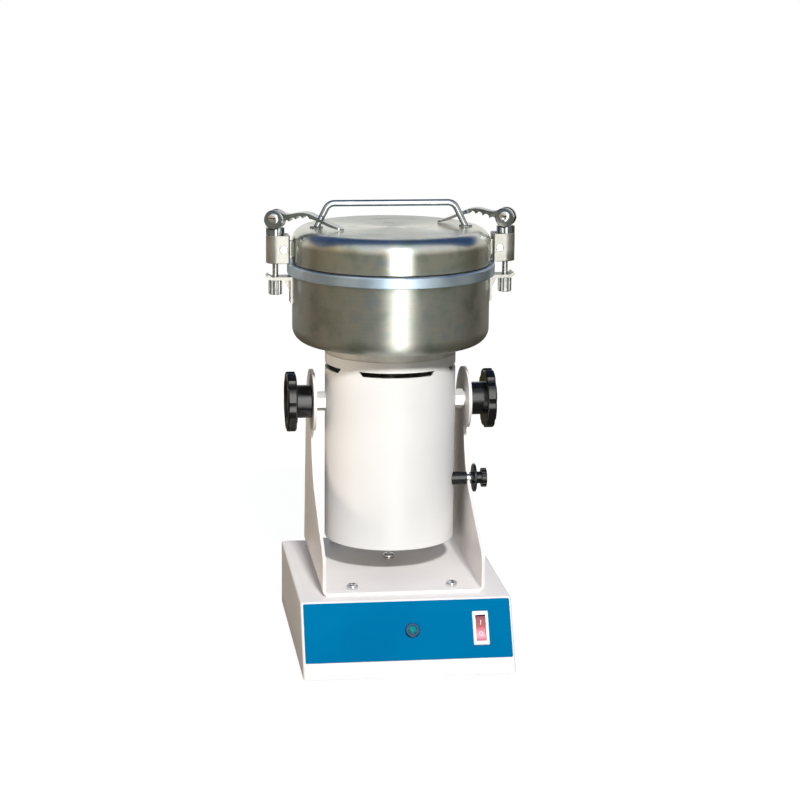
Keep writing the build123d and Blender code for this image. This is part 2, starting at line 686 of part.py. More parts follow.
def upper_end_shield():
    outer = UPPER_BEARING_RADIUS
    seat_low = UPPER_BEARING_TOP - UPPER_BEARING_HEIGHT
    spigot_low = HOUSING_TOP - SPIGOT_DEPTH
    plate_low = BOWL_BOTTOM - SHIELD_PLATE
    outline = [
        (UPPER_SHIELD_RADIUS, HOUSING_TOP),
        (UPPER_SHIELD_RADIUS, BOWL_BOTTOM),
        (outer, BOWL_BOTTOM),
        (outer, seat_low),
        (outer - BEARING_LEDGE_WIDTH, seat_low),
        (outer - BEARING_LEDGE_WIDTH, seat_low - BEARING_LEDGE_HEIGHT),
        (outer + BEARING_BOSS_WALL, seat_low - BEARING_LEDGE_HEIGHT),
        (outer + BEARING_BOSS_WALL, plate_low),
        (HOUSING_BORE - SPIGOT_WALL, plate_low),
        (HOUSING_BORE - SPIGOT_WALL, spigot_low),
        (HOUSING_BORE, spigot_low),
        (HOUSING_BORE, HOUSING_TOP),
    ]
    shield = turned(outline)
    for spot in bowl_screw_places():
        shield -= upright(BOWL_SCREW_RADIUS, plate_low - 1, BOWL_BOTTOM + 1, spot)
    return shield


def bearing(inner, outer, height, low):
    """A sealed ball bearing, with a shallow groove for the seal on each face."""
    groove_in = inner + 0.25 * (outer - inner)
    groove_out = inner + 0.75 * (outer - inner)
    outline = [
        (inner, low),
        (groove_in, low),
        (groove_in, low + BEARING_GROOVE_DEPTH),
        (groove_out, low + BEARING_GROOVE_DEPTH),
        (groove_out, low),
        (outer, low),
        (outer, low + height),
        (groove_out, low + height),
        (groove_out, low + height - BEARING_GROOVE_DEPTH),
        (groove_in, low + height - BEARING_GROOVE_DEPTH),
        (groove_in, low + height),
        (inner, low + height),
    ]
    return turned(outline)


def lower_bearing():
    sizes = (LOWER_BEARING_BORE_RADIUS, LOWER_BEARING_RADIUS, LOWER_BEARING_HEIGHT)
    return bearing(*sizes, LOWER_BEARING_BOTTOM)


def upper_bearing():
    sizes = (UPPER_BEARING_BORE_RADIUS, UPPER_BEARING_RADIUS, UPPER_BEARING_HEIGHT)
    return bearing(*sizes, UPPER_BEARING_TOP - UPPER_BEARING_HEIGHT)


def stator():
    top = STATOR_BOTTOM + STATOR_HEIGHT
    outline = [
        (STATOR_BORE, STATOR_BOTTOM),
        (WINDING_INNER, STATOR_BOTTOM - WINDING_OVERHANG),
        (WINDING_OUTER, STATOR_BOTTOM - WINDING_OVERHANG),
        (WINDING_OUTER, STATOR_BOTTOM),
        (HOUSING_BORE, STATOR_BOTTOM),
        (HOUSING_BORE, top),
        (WINDING_OUTER, top),
        (WINDING_OUTER, top + WINDING_OVERHANG),
        (WINDING_INNER, top + WINDING_OVERHANG),
        (STATOR_BORE, top),
    ]
    return turned(outline)


def rotor_core():
    top = STATOR_BOTTOM + STATOR_HEIGHT
    radius = STATOR_BORE - ROTOR_GAP
    ring = upright(radius, STATOR_BOTTOM, top) - upright(SHAFT_RADIUS, STATOR_BOTTOM - 1, top + 1)
    return ring


def motor_shaft():
    lower_radius = LOWER_BEARING_BORE_RADIUS - BEARING_FIT
    upper_radius = UPPER_BEARING_BORE_RADIUS - BEARING_FIT
    low = LOWER_BEARING_BOTTOM + SHAFT_END_GAP
    body_low = LOWER_BEARING_BOTTOM + LOWER_BEARING_HEIGHT + SHAFT_END_GAP
    body_top = UPPER_BEARING_TOP - UPPER_BEARING_HEIGHT - SHAFT_END_GAP
    blade_top = blade_nut_bottom() + BLADE_NUT_HEIGHT - BLADE_NUT_END_WALL
    outline = [
        (0, low),
        (lower_radius, low),
        (lower_radius, body_low),
        (SHAFT_RADIUS, body_low),
        (SHAFT_RADIUS, body_top),
        (upper_radius, body_top),
        (upper_radius, blade_stack_bottom()),
        (BLADE_SHAFT_RADIUS, blade_stack_bottom()),
        (BLADE_SHAFT_RADIUS, blade_top),
        (0, blade_top),
    ]
    return turned(outline)


def cooling_fan():
    top = FAN_BOTTOM + FAN_HEIGHT
    disc = upright(FAN_RADIUS, FAN_BOTTOM, FAN_BOTTOM + FAN_SHEET)
    fan = disc + upright(FAN_HUB_RADIUS, FAN_BOTTOM, top)
    blade = block((SHAFT_RADIUS, FAN_RADIUS), (-FAN_SHEET / 2, FAN_SHEET / 2), (FAN_BOTTOM, top))
    for turn in range(FAN_BLADES):
        fan += Rot(0, 0, 360 * turn / FAN_BLADES) * blade
    return fan - upright(SHAFT_RADIUS, FAN_BOTTOM - 1, top + 1)


# Trunnions, hand knobs and the lock, all built on the right

def trunnion_stud():
    hex_end = HOUSING_RADIUS + TRUNNION_HEX_LENGTH
    tip = ARM_OUTER_X + ARM_SIDE_GAP + KNOB_HUB_LENGTH
    start = HOUSING_BORE - TRUNNION_NUT_LENGTH - TRUNNION_NUT_THREAD
    stud = crosswise(TRUNNION_RADIUS, start, tip, 0, AXIS_HEIGHT)
    stud = chamfer(stud.edges().sort_by(Axis.X)[-1], TRUNNION_CHAMFER)
    collar = Rot(0, 90, 0) * hexagon(TRUNNION_HEX, TRUNNION_HEX_LENGTH)
    collar = Pos(HOUSING_RADIUS, 0, AXIS_HEIGHT) * collar
    shoulder = crosswise(TRUNNION_SHOULDER_RADIUS, hex_end, ARM_INNER_X, 0, AXIS_HEIGHT)
    return stud + collar + shoulder


def trunnion_nuts():
    start = HOUSING_BORE - TRUNNION_NUT_LENGTH
    nut = Pos(start, 0, AXIS_HEIGHT) * Rot(0, 90, 0) * hexagon(TRUNNION_HEX, TRUNNION_NUT_LENGTH)
    nut -= crosswise(TRUNNION_RADIUS, start - 1, HOUSING_RADIUS, 0, AXIS_HEIGHT)
    nut &= upright(HOUSING_BORE, HOUSING_BOTTOM, HOUSING_TOP)
    return Compound(children=[nut, other_side(nut)])


def swing_knob():
    inner = ARM_OUTER_X + ARM_SIDE_GAP
    outer = inner + KNOB_HUB_LENGTH + KNOB_RIM_LENGTH
    rim = upright(KNOB_RADIUS, 0, KNOB_RIM_LENGTH)
    flute_circle = KNOB_RADIUS + KNOB_FLUTE_RADIUS - KNOB_FLUTE_DEPTH
    flute = Pos(flute_circle, 0, KNOB_RIM_LENGTH / 2) * Cylinder(KNOB_FLUTE_RADIUS, 2 * KNOB_RIM_LENGTH)
    for turn in range(KNOB_LOBES):
        rim -= Rot(0, 0, 360 * turn / KNOB_LOBES) * flute
    ends = rim.edges().group_by(Axis.Z)
    rim = fillet(ends[0] + ends[-1], KNOB_EDGE_RADIUS)
    dish = upright(KNOB_DISH_RADIUS, KNOB_RIM_LENGTH - KNOB_DISH_DEPTH, KNOB_RIM_LENGTH + 1)
    rim -= fillet(dish.edges().sort_by(Axis.Z)[0], KNOB_DISH_DEPTH * 0.8)
    hub = upright(KNOB_HUB_RADIUS, -KNOB_HUB_LENGTH, KNOB_RIM_LENGTH / 2)
    hub = fillet(hub.edges().sort_by(Axis.Z)[0], KNOB_HUB_EDGE_RADIUS)
    bore = upright(TRUNNION_RADIUS + TRUNNION_BORE_GAP, -KNOB_HUB_LENGTH - 1, KNOB_BORE_END)
    knob = rim + hub - bore
    return Pos(outer - KNOB_RIM_LENGTH, 0, AXIS_HEIGHT) * Rot(0, 90, 0) * knob


def lock_boss():
    boss = crosswise(LOCK_BOSS_RADIUS, 0, ARM_INNER_X - LOCK_TIP_GAP, LOCK_Y, LOCK_HEIGHT)
    return boss - upright(HOUSING_RADIUS, HOUSING_BOTTOM, HOUSING_TOP)


def lock_screw():
    start = ARM_INNER_X
    end = ARM_OUTER_X + LOCK_KNOB_OFFSET + LOCK_KNOB_THICKNESS - LOCK_KNOB_END_WALL
    return crosswise(LOCK_SCREW_RADIUS, start, end, LOCK_Y, LOCK_HEIGHT)


def lock_wheel():
    start = ARM_OUTER_X + LOCK_WHEEL_OFFSET
    wheel = crosswise(LOCK_WHEEL_RADIUS, start, start + LOCK_WHEEL_THICKNESS, LOCK_Y, LOCK_HEIGHT)
    wheel = fillet(wheel.edges().filter_by(GeomType.CIRCLE), LOCK_WHEEL_THICKNESS * 0.35)
    hub_start = ARM_OUTER_X + ARM_SIDE_GAP
    hub = crosswise(LOCK_HUB_RADIUS, hub_start, ARM_OUTER_X + LOCK_KNOB_OFFSET, LOCK_Y, LOCK_HEIGHT)
    return wheel + hub - crosswise(LOCK_SCREW_RADIUS, 0, 2 * ARM_OUTER_X, LOCK_Y, LOCK_HEIGHT)


def lock_end_knob():
    knob = upright(LOCK_KNOB_RADIUS, 0, LOCK_KNOB_THICKNESS)
    circle = LOCK_KNOB_RADIUS + LOCK_TOOTH_RADIUS - LOCK_TOOTH_DEPTH
    notch = Pos(circle, 0, 0) * Cylinder(LOCK_TOOTH_RADIUS, 4 * LOCK_KNOB_THICKNESS)
    for turn in range(LOCK_KNOB_TEETH):
        knob -= Rot(0, 0, 360 * turn / LOCK_KNOB_TEETH) * notch
    knob -= upright(LOCK_SCREW_RADIUS, -1, LOCK_KNOB_THICKNESS - LOCK_KNOB_END_WALL)
    return Pos(ARM_OUTER_X + LOCK_KNOB_OFFSET, LOCK_Y, LOCK_HEIGHT) * Rot(0, 90, 0) * knob


# Bowl and lid

def bowl_screw_places():
    spots = PolarLocations(BOWL_SCREW_RING_RADIUS, 4, start_angle=45)
    return [(spot.position.X, spot.position.Y) for spot in spots]


def bowl():
    body = upright(BOWL_RADIUS, BOWL_BOTTOM, BOWL_TOP)
    body = fillet(body.edges().sort_by(Axis.Z)[0], BOWL_CORNER_RADIUS)
    pan = offset(body, amount=-BOWL_WALL, openings=body.faces().sort_by(Axis.Z)[-1])
    pan -= upright(SEAL_NECK_RADIUS, BOWL_BOTTOM - 1, BOWL_FLOOR + 1)
    for spot in bowl_screw_places():
        pan -= upright(BOWL_SCREW_RADIUS, BOWL_BOTTOM - 1, BOWL_FLOOR + 1, spot)
    return pan


def bowl_rim_ring():
    low = BOWL_TOP - RIM_HEIGHT
    ring = upright(RIM_RADIUS, low, BOWL_TOP)
    ring = fillet(ring.edges().filter_by(GeomType.CIRCLE), RIM_EDGE_RADIUS)
    return ring - upright(BOWL_RADIUS, low - 1, BOWL_TOP + 1)


def bowl_screws():
    screws = []
    for x, y in bowl_screw_places():
        head = upright(BOWL_SCREW_HEAD_RADIUS, BOWL_FLOOR, BOWL_FLOOR + BOWL_SCREW_HEAD_HEIGHT)
        head = fillet(head.edges().sort_by(Axis.Z)[-1], BOWL_SCREW_HEAD_ROUND)
        shank = upright(BOWL_SCREW_RADIUS, BOWL_FLOOR - BOWL_SCREW_LENGTH, BOWL_FLOOR)
        screws.append(Pos(x, y, 0) * (head + shank))
    return Compound(children=screws)


def lid_gasket():
    outer = LID_RADIUS - GASKET_INSET
    ring = upright(outer, BOWL_TOP, LID_BOTTOM)
    return ring - upright(outer - GASKET_WIDTH, BOWL_TOP - 1, LID_BOTTOM + 1)


def lid():
    body = upright(LID_RADIUS, LID_BOTTOM, LID_TOP)
    body = fillet(body.edges().sort_by(Axis.Z)[-1], LID_CORNER_RADIUS)
    return offset(body, amount=-LID_WALL, openings=body.faces().sort_by(Axis.Z)[0])


def lid_handle():
    bar = LID_TOP + HANDLE_RISE
    path = FilletPolyline(
        (-HANDLE_HALF_FOOT, 0, LID_TOP),
        (-HANDLE_HALF_TOP, 0, bar),
        (HANDLE_HALF_TOP, 0, bar),
        (HANDLE_HALF_FOOT, 0, LID_TOP),
        radius=HANDLE_BEND_RADIUS,
    )
    start = Plane(origin=path @ 0, z_dir=path % 0)
    rod = sweep(start * Circle(HANDLE_ROD_RADIUS), path=path)
    for x in (-HANDLE_HALF_FOOT, HANDLE_HALF_FOOT):
        foot = upright(HANDLE_FOOT_RADIUS, LID_TOP, LID_TOP + HANDLE_FOOT_HEIGHT, (x, 0))
        rod += fillet(foot.edges().sort_by(Axis.Z)[-1], HANDLE_FOOT_HEIGHT * 0.6)
    return rod - upright(LID_RADIUS, LID_BOTTOM, LID_TOP)


# Blades on the shaft

def blade_stack_bottom():
    return BOWL_FLOOR + SEAL_HEIGHT + COLLAR_GAP


def lower_blade_bottom():
    return blade_stack_bottom() + BLADE_COLLAR_HEIGHT


def upper_blade_bottom():
    return lower_blade_bottom() + BLADE_SHEET + BLADE_SPACER_HEIGHT


def blade_nut_bottom():
    return upper_blade_bottom() + BLADE_SHEET


def shaft_seal():
    inner = UPPER_BEARING_BORE_RADIUS + SEAL_GAP
    outline = [
        (inner, BOWL_BOTTOM),
        (SEAL_NECK_RADIUS, BOWL_BOTTOM),
        (SEAL_NECK_RADIUS, BOWL_FLOOR),
        (SEAL_RADIUS, BOWL_FLOOR),
        (SEAL_RADIUS - SEAL_TAPER, BOWL_FLOOR + SEAL_HEIGHT),
        (inner, BOWL_FLOOR + SEAL_HEIGHT),
    ]
    return turned(outline)


def collar(low, height):
    """A plain round spacer on the blade end of the shaft."""
    return upright(BLADE_COLLAR_RADIUS, low, low + height) - upright(
        BLADE_SHAFT_RADIUS, low - 1, low + height + 1
    )


def blade_collar():
    return collar(blade_stack_bottom(), BLADE_COLLAR_HEIGHT)


def blade_spacer():
    return collar(lower_blade_bottom() + BLADE_SHEET, BLADE_SPACER_HEIGHT)


def blade(low, reach, lift):
    """A two armed blade: a flat middle, arms bent up and a ground bevel on each leading edge."""
    end = BLADE_KINK + (reach - BLADE_KINK) * cos(radians(lift))
    rise = (reach - BLADE_KINK) * sin(radians(lift))
    strip = make_face(
        Plane.XZ * Polyline(
            (0, 0),
            (BLADE_KINK, 0),
            (end, rise),
            (end - BLADE_SHEET * sin(radians(lift)), rise + BLADE_SHEET * cos(radians(lift))),
            (BLADE_KINK - BLADE_SHEET * tan(radians(lift) / 2), BLADE_SHEET),
            (0, BLADE_SHEET),
            close=True,
        )
    )
    arm = extrude(strip, BLADE_WIDTH / 2, both=True)
    plan = Polyline(
        (0, -BLADE_WIDTH / 2),
        (BLADE_KINK, -BLADE_WIDTH / 2),
        (reach, -BLADE_WIDTH / 2 + (BLADE_WIDTH - BLADE_TIP_WIDTH)),
        (reach, BLADE_WIDTH / 2),
        (0, BLADE_WIDTH / 2),
        close=True,
    )
    arm &= extrude(make_face(Plane.XY * plan), reach)
    both = arm + Rot(0, 0, 180) * arm
    both -= upright(BLADE_SHAFT_RADIUS, -1, BLADE_SHEET + 1)
    return Pos(0, 0, low) * both


def lower_blade():
    return blade(lower_blade_bottom(), BLADE_REACH, 0)


def upper_blade():
    return Rot(0, 0, 90) * blade(upper_blade_bottom(), UPPER_BLADE_REACH, BLADE_LIFT)


def blade_nut():
    low = blade_nut_bottom()
    top = low + BLADE_NUT_HEIGHT
    nut = Pos(0, 0, low) * hexagon(BLADE_NUT_HEX, BLADE_NUT_HEIGHT)
    corner_radius = BLADE_NUT_HEX / sqrt(3)
    dome = upright(corner_radius, low, top)
    nut &= fillet(dome.edges().sort_by(Axis.Z)[-1], BLADE_NUT_ROUND)
    return nut - upright(BLADE_SHAFT_RADIUS, low - 1, top - BLADE_NUT_END_WALL)


# Clamps, all built on the right

def along_lever(shape):
    """From the lever's own frame, with X along the lever and Y along the cam, to its place."""
    return Pos(ROD_X, 0, CAM_HEIGHT) * Rot(0, 0, 180 - LEVER_TURN) * shape


def lid_ear():
    end = PIN_X + EAR_END_RADIUS
    half = EAR_THICKNESS / 2
    rise = EAR_HEIGHT / 2
    start = LID_RADIUS - LID_WALL
    ear = block((start, end), (-half, half), (PIN_HEIGHT - rise, PIN_HEIGHT + rise))
    corners = ear.edges().filter_by(Axis.Y).group_by(Axis.X)[-1]
    ear = fillet(corners, EAR_END_RADIUS)
    hole = Pos(PIN_X, 0, PIN_HEIGHT) * Rot(90, 0, 0) * Cylinder(PIN_RADIUS, 4 * half)
    return ear - hole - upright(LID_RADIUS, LID_BOTTOM, LID_TOP)


def clamp_block():
    half = BLOCK_HALF_DEPTH
    round_x = BLOCK_OUTER_X - half
    body = block((BLOCK_INNER_X, round_x), (-half, half), (BLOCK_BOTTOM, BLOCK_TOP))
    body = fillet(body.edges().filter_by(Axis.Z).group_by(Axis.X)[0], BLOCK_CORNER_RADIUS)
    body += upright(half, BLOCK_BOTTOM, BLOCK_TOP, (round_x, 0))
    ends = body.faces().sort_by(Axis.Z)
    body = fillet(ends[0].edges() + ends[-1].edges(), BLOCK_EDGE_RADIUS)
    slot_half = EAR_THICKNESS / 2 + EAR_GAP
    slot_end = PIN_X + EAR_END_RADIUS + EAR_GAP
    through = (BLOCK_BOTTOM - 1, BLOCK_TOP + 1)
    body -= block((BLOCK_INNER_X - 1, slot_end), (-slot_half, slot_half), through)
    body -= upright(ROD_RADIUS, *through, (ROD_X, 0))
    return body - Pos(PIN_X, 0, PIN_HEIGHT) * Rot(90, 0, 0) * Cylinder(PIN_RADIUS, 4 * half)


def clamp_pins():
    pin = Cylinder(PIN_RADIUS, 2 * BLOCK_HALF_DEPTH + PIN_HEAD_HEIGHT)
    for end in (-1, 1):
        head = Pos(0, 0, end * (BLOCK_HALF_DEPTH + PIN_HEAD_HEIGHT / 2)) * Cylinder(
            PIN_HEAD_RADIUS, PIN_HEAD_HEIGHT
        )
        rim = head.edges().filter_by(GeomType.CIRCLE).sort_by(Axis.Z)[-1 if end > 0 else 0]
        pin += fillet(rim, PIN_HEAD_HEIGHT * 0.7)
    right = Pos(PIN_X, 0, PIN_HEIGHT) * Rot(90, 0, 0) * pin
    return Compound(children=[right, other_side(right)])


def cam_saddle():
    saddle = upright(SADDLE_RADIUS, BLOCK_TOP, BLOCK_TOP + SADDLE_HEIGHT, (ROD_X, 0))
    seat = Rot(90, 0, 0) * Cylinder(CAM_RADIUS + CAM_GAP, 4 * SADDLE_RADIUS)
    saddle -= along_lever(seat)
    return saddle - upright(ROD_RADIUS, BLOCK_TOP - 1, BLOCK_TOP + SADDLE_HEIGHT + 1, (ROD_X, 0))


def clamp_rod():
    low = NUT_TOP - NUT_HEIGHT - ROD_END_BELOW_NUT
    rod = upright(ROD_RADIUS, low, CAM_PIN_HEIGHT, (ROD_X, 0))
    rod = chamfer(rod.edges().sort_by(Axis.Z)[0], 0.6)
    eye = Pos(0, 0, CAM_OFFSET) * Rot(90, 0, 0) * Cylinder(EYE_RADIUS, 2 * ROD_RADIUS)
    hole = Pos(0, 0, CAM_OFFSET) * Rot(90, 0, 0) * Cylinder(PIN_RADIUS + CAM_PIN_GAP, 4 * ROD_RADIUS)
    return rod + along_lever(eye) - along_lever(hole)


def lever_side():
    """The lever's side view: off the top of the cam, over a low crest and down to a thin tip."""
    length = LEVER_LENGTH
    cam = CAM_RADIUS
    root = (LEVER_ROOT_X, -LEVER_ROOT_DROP)
    upper = Spline(
        (0, cam),
        (0.147 * length, 0.63 * cam),
        (0.28 * length, 0.71 * cam),
        (0.43 * length, 0.86 * cam),
        (0.505 * length, 0.79 * cam),
        (0.58 * length, 0.60 * cam),
        (0.69 * length, 0.22 * cam),
        (0.80 * length, -0.15 * cam),
        (0.92 * length, -0.49 * cam),
        (length, LEVER_TIP_SHEET - LEVER_TIP_DROP),
        tangents=[(1, 0), (1, -0.35)],
    )
    lower = Spline(
        (length, -LEVER_TIP_DROP),
        (0.90 * length, -0.69 * cam),
        (0.80 * length, -0.46 * cam),
        (0.72 * length, -0.20 * cam),
        (0.63 * length, 0.08 * cam),
        (0.54 * length, 0.26 * cam),
        (0.40 * length, 0.27 * cam),
        (0.263 * length, 0.01 * cam),
        root,
    )
    close = Polyline(root, (0, root[1]), (0, cam))
    return make_face(Plane.XZ * (upper + Line(upper @ 1, lower @ 0) + lower + close))


def lever_plan():
    """The lever seen from above: full width at the cam and the grip, with a waist and a round tip."""
    half = LEVER_WIDTH / 2
    tip = LEVER_TIP_WIDTH / 2
    end = LEVER_LENGTH - tip
    waist = (0.2 * LEVER_LENGTH, half * LEVER_WAIST)
    edge = Spline((0, half), waist, (0.47 * LEVER_LENGTH, half), (0.68 * LEVER_LENGTH, half), (end, tip))
    tip_arc = ThreePointArc((end, tip), (LEVER_LENGTH, 0), (end, -tip))
    return make_face(edge + tip_arc + mirror(edge, Plane.XZ) + Line((0, half), (0, -half)))


def cam_lever():
    arm = extrude(lever_side(), LEVER_WIDTH / 2, both=True)
    arm &= extrude(lever_plan(), LEVER_LENGTH, both=True)
    for along, height in LEVER_DENT_PLACES:
        arm -= Pos(along, 0, height) * Rot(90, 0, 0) * Cylinder(LEVER_DENT_RADIUS, 2 * LEVER_WIDTH)
    barrel = Rot(90, 0, 0) * Cylinder(CAM_RADIUS, CAM_LENGTH)
    barrel = chamfer(barrel.edges().filter_by(GeomType.CIRCLE), CAM_CHAMFER)
    slot_half = ROD_RADIUS + CAM_SLOT_GAP
    reach = 2 * CAM_RADIUS
    slot = block((-reach, slot_half), (-slot_half, slot_half), (-reach, reach))
    eye_room = Rot(90, 0, 0) * Cylinder(EYE_RADIUS + CAM_SLOT_GAP, 2 * slot_half)
    hole = Rot(90, 0, 0) * Cylinder(PIN_RADIUS, 2 * CAM_LENGTH)
    return along_lever(arm + barrel - slot - Pos(0, 0, CAM_OFFSET) * (eye_room + hole))


def cam_pin():
    pin = Cylinder(PIN_RADIUS, CAM_LENGTH)
    dome = scale(Sphere(CAM_PIN_CAP_RADIUS), (1, 1, CAM_PIN_CAP_RISE / CAM_PIN_CAP_RADIUS))
    cap = Pos(0, 0, CAM_LENGTH / 2) * (dome & upright(2 * CAM_PIN_CAP_RADIUS, 0, CAM_PIN_CAP_RISE))
    pin += cap + Rot(180, 0, 0) * cap
    return along_lever(Pos(0, 0, CAM_OFFSET) * Rot(90, 0, 0) * pin)


def bowl_catch():
    strap_outer = BOWL_RADIUS + STRAP_SHEET
    inside = BOWL_RADIUS - BOWL_WALL
    half = FORK_HALF_WIDTH
    strap = block((inside, strap_outer), (-half, half), (FORK_TOP - STRAP_HEIGHT, FORK_TOP))
    weld = strap_outer - WELD_OVERLAP
    bend = atan2(FORK_TIP_RISE, FORK_TIP_RUN)
    tip = (FORK_FLAT_END + FORK_TIP_RUN, FORK_BOTTOM + FORK_TIP_RISE)
    side = Polyline(
        (weld, FORK_BOTTOM),
        (FORK_FLAT_END, FORK_BOTTOM),
        tip,
        (tip[0] - FORK_SHEET * sin(bend), tip[1] + FORK_SHEET * cos(bend)),
        (FORK_FLAT_END - FORK_SHEET * tan(bend / 2), FORK_TOP),
        (weld, FORK_TOP),
        close=True,
    )
    fork = extrude(make_face(Plane.XZ * side), half, both=True)
    slot_half = ROD_RADIUS + FORK_SLOT_GAP
    through = (FORK_BOTTOM - 1, FORK_TOP + 2 * FORK_TIP_RISE)
    fork -= upright(slot_half, *through, (ROD_X, 0))
    fork -= block((ROD_X, 2 * ROD_X), (-slot_half, slot_half), through)
    rib = Polyline(
        (weld, FORK_BOTTOM + WELD_OVERLAP),
        (strap_outer + GUSSET_REACH, FORK_BOTTOM + WELD_OVERLAP),
        (strap_outer + GUSSET_REACH, FORK_BOTTOM),
        (strap_outer, FORK_BOTTOM - GUSSET_DROP),
        (weld, FORK_BOTTOM - GUSSET_DROP),
        close=True,
    )
    gusset = extrude(make_face(Plane.XZ * rib), GUSSET_SHEET / 2, both=True)
    return strap + fork + gusset - upright(BOWL_RADIUS, BOWL_BOTTOM, BOWL_TOP)


def clamp_nut():
    low = NUT_TOP - NUT_HEIGHT
    nut = upright(NUT_RADIUS, low, NUT_TOP)
    nut = chamfer(nut.edges().filter_by(GeomType.CIRCLE), NUT_CHAMFER)
    circle = NUT_RADIUS + NUT_GROOVE_RADIUS - NUT_GROOVE_DEPTH
    groove = upright(NUT_GROOVE_RADIUS, low - 1, NUT_TOP + 1, (circle, 0))
    for turn in range(NUT_GROOVES):
        nut -= Rot(0, 0, 360 * turn / NUT_GROOVES) * groove
    nut -= upright(ROD_RADIUS + NUT_THREAD_GAP, low - 1, NUT_TOP + 1)
    return Pos(ROD_X, 0, 0) * nut


SINGLE_PARTS = {
    "base_shell": base_shell,
    "base_bottom_plate": bottom_plate,
    "base_screws": base_screws,
    "rubber_feet": rubber_feet,
    "front_panel": front_panel,
    "pilot_lamp_body": pilot_lamp_body,
    "pilot_lamp_lens": pilot_lamp_lens,
    "switch_frame": switch_frame,
    "switch_rocker": switch_rocker,
    "power_inlet": power_inlet,
    "yoke_bracket": yoke_bracket,
    "yoke_bolts": yoke_bolts,
    "motor_housing": motor_housing,
    "lower_end_shield": lower_end_shield,
    "upper_end_shield": upper_end_shield,
    "lower_bearing": lower_bearing,
    "upper_bearing": upper_bearing,
    "stator": stator,
    "rotor_core": rotor_core,
    "motor_shaft": motor_shaft,
    "cooling_fan": cooling_fan,
    "lock_boss": lock_boss,
    "lock_screw": lock_screw,
    "lock_wheel": lock_wheel,
    "lock_end_knob": lock_end_knob,
    "bowl": bowl,
    "bowl_rim_ring": bowl_rim_ring,
    "bowl_screws": bowl_screws,
    "shaft_seal": shaft_seal,
    "blade_collar": blade_collar,
    "lower_blade": lower_blade,
    "blade_spacer": blade_spacer,
    "upper_blade": upper_blade,
    "blade_nut": blade_nut,
    "lid_gasket": lid_gasket,
    "lid": lid,
    "lid_handle": lid_handle,
    "trunnion_nuts": trunnion_nuts,
    "clamp_pins": clamp_pins,
}

PAIRED_PARTS = {
    "trunnion_stud": trunnion_stud,
    "swing_knob": swing_knob,
    "lid_ear": lid_ear,
    "clamp_block": clamp_block,
    "cam_saddle": cam_saddle,
    "clamp_rod": clamp_rod,
    "cam_lever": cam_lever,
    "cam_pin": cam_pin,
    "bowl_catch": bowl_catch,
    "clamp_nut": clamp_nut,
}

os.makedirs("parts", exist_ok=True)
placed = Pos(0, MILL_AXIS_Y, 0)
for name, make in SINGLE_PARTS.items():
    export_step(placed * make(), f"parts/{name}.step")
for name, make in PAIRED_PARTS.items():
    right = make()
    export_step(placed * right, f"parts/right_{name}.step")
    export_step(placed * other_side(right), f"parts/left_{name}.step")
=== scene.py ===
import math

import bpy
from mathutils import Matrix, Vector


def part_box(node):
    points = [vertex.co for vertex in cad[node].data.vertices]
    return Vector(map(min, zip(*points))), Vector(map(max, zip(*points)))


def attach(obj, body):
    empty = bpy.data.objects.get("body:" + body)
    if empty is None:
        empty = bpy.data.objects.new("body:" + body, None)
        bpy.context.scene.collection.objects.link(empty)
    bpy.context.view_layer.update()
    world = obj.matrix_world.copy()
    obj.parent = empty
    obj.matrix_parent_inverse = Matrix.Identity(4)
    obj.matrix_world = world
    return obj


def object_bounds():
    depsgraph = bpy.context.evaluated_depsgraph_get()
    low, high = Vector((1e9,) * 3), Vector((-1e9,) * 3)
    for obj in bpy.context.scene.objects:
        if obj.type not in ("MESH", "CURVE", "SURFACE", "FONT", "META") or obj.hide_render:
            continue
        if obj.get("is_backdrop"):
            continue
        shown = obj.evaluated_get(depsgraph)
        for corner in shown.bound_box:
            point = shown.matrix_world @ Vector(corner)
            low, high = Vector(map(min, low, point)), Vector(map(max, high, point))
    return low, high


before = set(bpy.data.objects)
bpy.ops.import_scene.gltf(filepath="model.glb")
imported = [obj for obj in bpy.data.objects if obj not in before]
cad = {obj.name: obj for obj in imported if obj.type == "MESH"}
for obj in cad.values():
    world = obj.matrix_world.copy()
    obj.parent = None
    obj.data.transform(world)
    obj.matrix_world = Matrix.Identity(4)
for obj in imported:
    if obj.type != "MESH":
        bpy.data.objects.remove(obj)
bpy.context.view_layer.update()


# Camera
# A long lens a little to the left of the front, looking slightly down, as the photograph
# was taken. The angles and the distance were fitted to the edges in the photograph.
VIEW_AZIMUTH = math.radians(-7.69)
VIEW_ELEVATION = math.radians(12.39)
VIEW_ROLL = math.radians(0.52)
VIEW_DISTANCE = 2.2901
LENS = 103.06
SENSOR = 36.0
FARTHEST = 50
LOOK_RIGHT = 0.01027
LOOK_HEIGHT = 0.23394

housing_low, housing_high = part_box("motor_housing")
axis_y = (housing_low.y + housing_high.y) / 2

back = Vector((
    math.sin(VIEW_AZIMUTH) * math.cos(VIEW_ELEVATION),
    -math.cos(VIEW_AZIMUTH) * math.cos(VIEW_ELEVATION),
    math.sin(VIEW_ELEVATION),
))
camera_data = bpy.data.cameras.new("camera")
camera_data.lens = LENS
camera_data.sensor_width = SENSOR
camera_data.clip_end = FARTHEST
camera = bpy.data.objects.new("camera", camera_data)
level = (-back).to_track_quat("-Z", "Y").to_matrix().to_4x4()
place = Matrix.Translation(Vector((LOOK_RIGHT, axis_y, LOOK_HEIGHT)) + back * VIEW_DISTANCE)
camera.matrix_world = place @ level @ Matrix.Rotation(VIEW_ROLL, 4, "Z")
bpy.context.collection.objects.link(camera)
bpy.context.scene.camera = camera
bpy.context.scene.view_settings.view_transform = "Standard"


